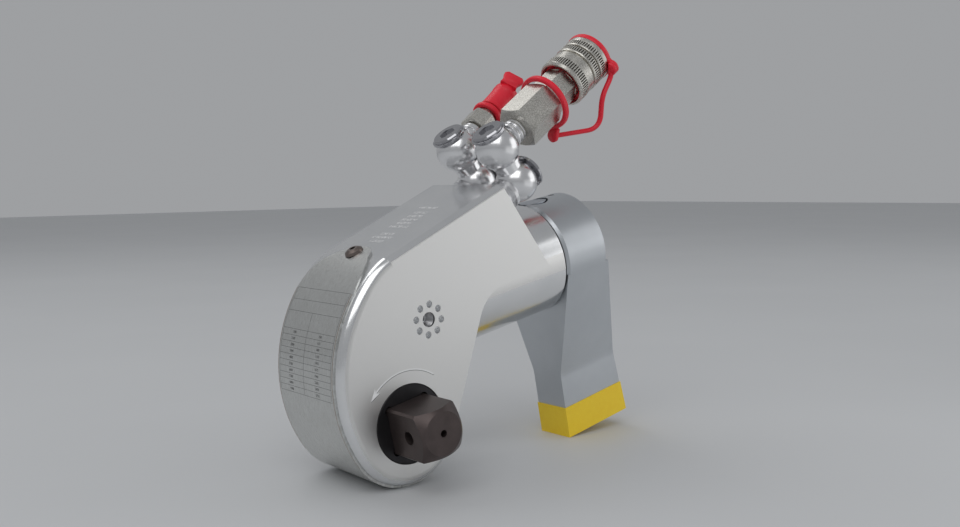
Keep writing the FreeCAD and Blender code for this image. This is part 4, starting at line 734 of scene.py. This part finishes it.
def strap_marks():
    """Etched chart of ruled rows and plain numbers, and a line along each edge."""
    half = math.degrees(HALF_LINE / STRAP_RADIUS)
    rules = [strap_strip(angle - half, angle + half, -TABLE_HALF, TABLE_HALF) for angle in ROW_ANGLES]
    top, bottom = ROW_ANGLES[0], ROW_ANGLES[-1]
    for y, start in ((-TABLE_HALF, top), (TABLE_HALF, top), (TABLE_MIDDLE, HEADING_ROWS[2])):
        rules.append(strap_strip(start, bottom, y - HALF_LINE, y + HALF_LINE))
    make_strips("strap_rules", rules, ETCHED_AND_ARROW_SHADOW)
    edges = []
    for side in (-1, 1):
        edges.append(strap_strip(EDGE_START, EDGE_END, side * EDGE_OUT, side * (EDGE_OUT - EDGE_WIDE)))
    make_strips("strap_edges", edges, EDGE_TAN)
    for i in range(NUMBER_ROWS):
        angle = HEADING_ROWS[-1] + NUMBER_STEP * (i + 0.5)
        for column, (first, step, y) in NUMBER_COLUMNS.items():
            strap_number("number_%s_%d" % (column, i), str(first + step * i), angle, y)


# Marks on the sides and on the top face

ARROW_RADIUS = 28.6
ARROW_HALF = 0.4
ARROW_HEAD_HALF = 2.0
ARROW_START = math.radians(46.0)
ARROW_WINGS = math.radians(123.5)
ARROW_NOTCH = math.radians(126.0)
ARROW_TIP = math.radians(136.5)
ARROW_LIFT = 0.04
# Lift and drop of the dark arrow copy that paints the white arrow's shadow
ARROW_SHADOW_LIFT, ARROW_SHADOW_DROP = 0.02, 0.28
TOP_ROWS = [22.0, 26.0, 30.0, 38.0, 42.0, 46.0, 50.0, 54.0, 60.0]
TOP_WORDS = ["1 234 567", "12 345 678 901", "2 345 678", "3 456 789 012", "45 678 901", "345 678 901",
             "23 456 789", "1 234 567", "4 680 246 801"]
TOP_NUMBER_SIZE = 3.0


def direction_arrow(name, side, lift, low, material):
    """Curved arrow round the drive on one side face; low moves it down a little."""
    y = side * (HALF_WIDTH + lift)

    def at(radius, angle):
        return (radius * math.cos(angle), y, radius * math.sin(angle) - low)

    steps = 40
    verts = []
    for i in range(steps + 1):
        a = ARROW_START + (ARROW_NOTCH - ARROW_START) * i / steps
        verts += [at(ARROW_RADIUS + ARROW_HALF, a), at(ARROW_RADIUS - ARROW_HALF, a)]
    faces = [(k, k + 1, k + 3, k + 2) for k in range(0, 2 * steps, 2)]
    k = len(verts)
    verts += [at(ARROW_RADIUS, ARROW_TIP), at(ARROW_RADIUS + ARROW_HEAD_HALF, ARROW_WINGS),
              at(ARROW_RADIUS, ARROW_NOTCH), at(ARROW_RADIUS - ARROW_HEAD_HALF, ARROW_WINGS)]
    faces += [(k, k + 1, k + 2), (k, k + 2, k + 3)]
    make(name, verts, faces, "housing", material, False)


def side_marks():
    """White arrow on each side face, with a dark copy set a little lower as its painted shadow."""
    for side, end in ((-1, "_near"), (1, "_far")):
        direction_arrow("arrow_painted_shadow" + end, side, ARROW_SHADOW_LIFT, ARROW_SHADOW_DROP, ETCHED_AND_ARROW_SHADOW)
        direction_arrow("direction_arrow" + end, side, ARROW_LIFT, 0.0, WHITE_INK)


def top_marks():
    """Rows of plain numbers on the top face."""
    for i, (x, words) in enumerate(zip(TOP_ROWS, TOP_WORDS)):
        verts, faces = flat_text(words, TOP_NUMBER_SIZE)
        laid = []
        for v in verts:
            at = x + v.y * math.cos(TOP_SLOPE)
            laid.append((at, -v.x, top_height(at) + NUMBER_LIFT))
        make("top_number_%d" % i, laid, faces, "housing", WHITE_INK, False)


# Stage and view

FLOOR_HALF = 6.0
WORLD_COLOR = (0.95, 0.97, 1.0, 1.0)
WORLD_LIGHT = 0.40
WORLD_SEEN = 0.36
CAMERA_PLACE = Vector((-265.67, -454.31, 182.37))
CAMERA_RIGHT = Vector((0.7529, -0.6349, -0.1731))
CAMERA_UP = Vector((0.2650, 0.0518, 0.9629))
FOCAL_PIXELS = 1004.98
IMAGE_WIDTH = 960.0
SENSOR_WIDTH = 36.0


def stage():
    """Plain pale floor under the tool."""
    low = cad_box[0][2]
    m = Nodes("pale_floor")
    cloud = m.noise(m.coords(), 0.004, 2.0)
    material = m.finish(0.0, m.mix(cloud, (0.56, 0.57, 0.58), (0.60, 0.61, 0.62)), 0.55)
    mesh = bpy.data.meshes.new("floor")
    corners = [(x * FLOOR_HALF, y * FLOOR_HALF, low) for x, y in ((-1, -1), (1, -1), (1, 1), (-1, 1))]
    mesh.from_pydata(corners, [], [(0, 1, 2, 3)])
    floor = bpy.data.objects.new("floor", mesh)
    bpy.context.scene.collection.objects.link(floor)
    mesh.materials.append(material)


def world():
    """Even pale surroundings, a little dimmer where they are seen directly or as a reflection."""
    w = bpy.data.worlds.new("studio")
    bpy.context.scene.world = w
    w.use_nodes = True
    tree = w.node_tree
    back = tree.nodes["Background"]
    back.inputs["Color"].default_value = WORLD_COLOR
    path = tree.nodes.new("ShaderNodeLightPath")
    either = tree.nodes.new("ShaderNodeMath")
    either.operation = "MAXIMUM"
    tree.links.new(path.outputs["Is Camera Ray"], either.inputs[0])
    tree.links.new(path.outputs["Is Glossy Ray"], either.inputs[1])
    strength = tree.nodes.new("ShaderNodeMapRange")
    strength.inputs["To Min"].default_value = WORLD_LIGHT
    strength.inputs["To Max"].default_value = WORLD_SEEN
    tree.links.new(either.outputs[0], strength.inputs["Value"])
    tree.links.new(strength.outputs[0], back.inputs["Strength"])


def lamp(name, place, target, size, power):
    """Soft rectangular lamp at a place in metres, aimed at a target."""
    data = bpy.data.lights.new(name, "AREA")
    data.shape = "RECTANGLE"
    data.size, data.size_y = size
    data.energy = power
    obj = bpy.data.objects.new(name, data)
    bpy.context.scene.collection.objects.link(obj)
    obj.location = place
    obj.rotation_euler = (Vector(target) - Vector(place)).to_track_quat("-Z", "Y").to_euler()


def camera():
    """Camera at the photograph's viewing angle; its place and axes are in the tool frame."""
    back = CAMERA_RIGHT.cross(CAMERA_UP).normalized()
    right = CAMERA_UP.cross(back).normalized()
    up = back.cross(right).normalized()
    turn = Matrix.Rotation(-PITCH, 3, "Y")
    axes = Matrix((turn @ right, turn @ up, turn @ back)).transposed().to_4x4()
    axes.translation = TO_ROW @ CAMERA_PLACE
    data = bpy.data.cameras.new("camera")
    data.sensor_width = SENSOR_WIDTH
    data.lens = FOCAL_PIXELS * SENSOR_WIDTH / IMAGE_WIDTH
    data.clip_start = 0.01
    obj = bpy.data.objects.new("camera", data)
    bpy.context.scene.collection.objects.link(obj)
    obj.matrix_world = axes
    bpy.context.scene.camera = obj


camera()
stage()
world()
lamp("key", (-1.1, -0.9, 1.6), (0.06, 0.0, 0.06), (2.0, 1.6), 14.0)
lamp("fill", (1.7, -0.9, 0.7), (0.08, 0.0, 0.05), (1.4, 1.2), 4.5)
lamp("rim", (-0.3, 1.1, 1.9), (0.05, 0.0, 0.08), (1.6, 1.0), 7.0)
lamp("low", (0.29, -0.34, 0.08), (0.09, 0.0, 0.06), (0.42, 0.20), 0.07)
dress_nodes()
coupler_sleeve()
near_cap()
near_ring()
near_tether()
far_cap()
swivel_necks()
handle_threads()
strap_marks()
side_marks()
top_marks()

bpy.context.scene.view_settings.view_transform = "Standard"
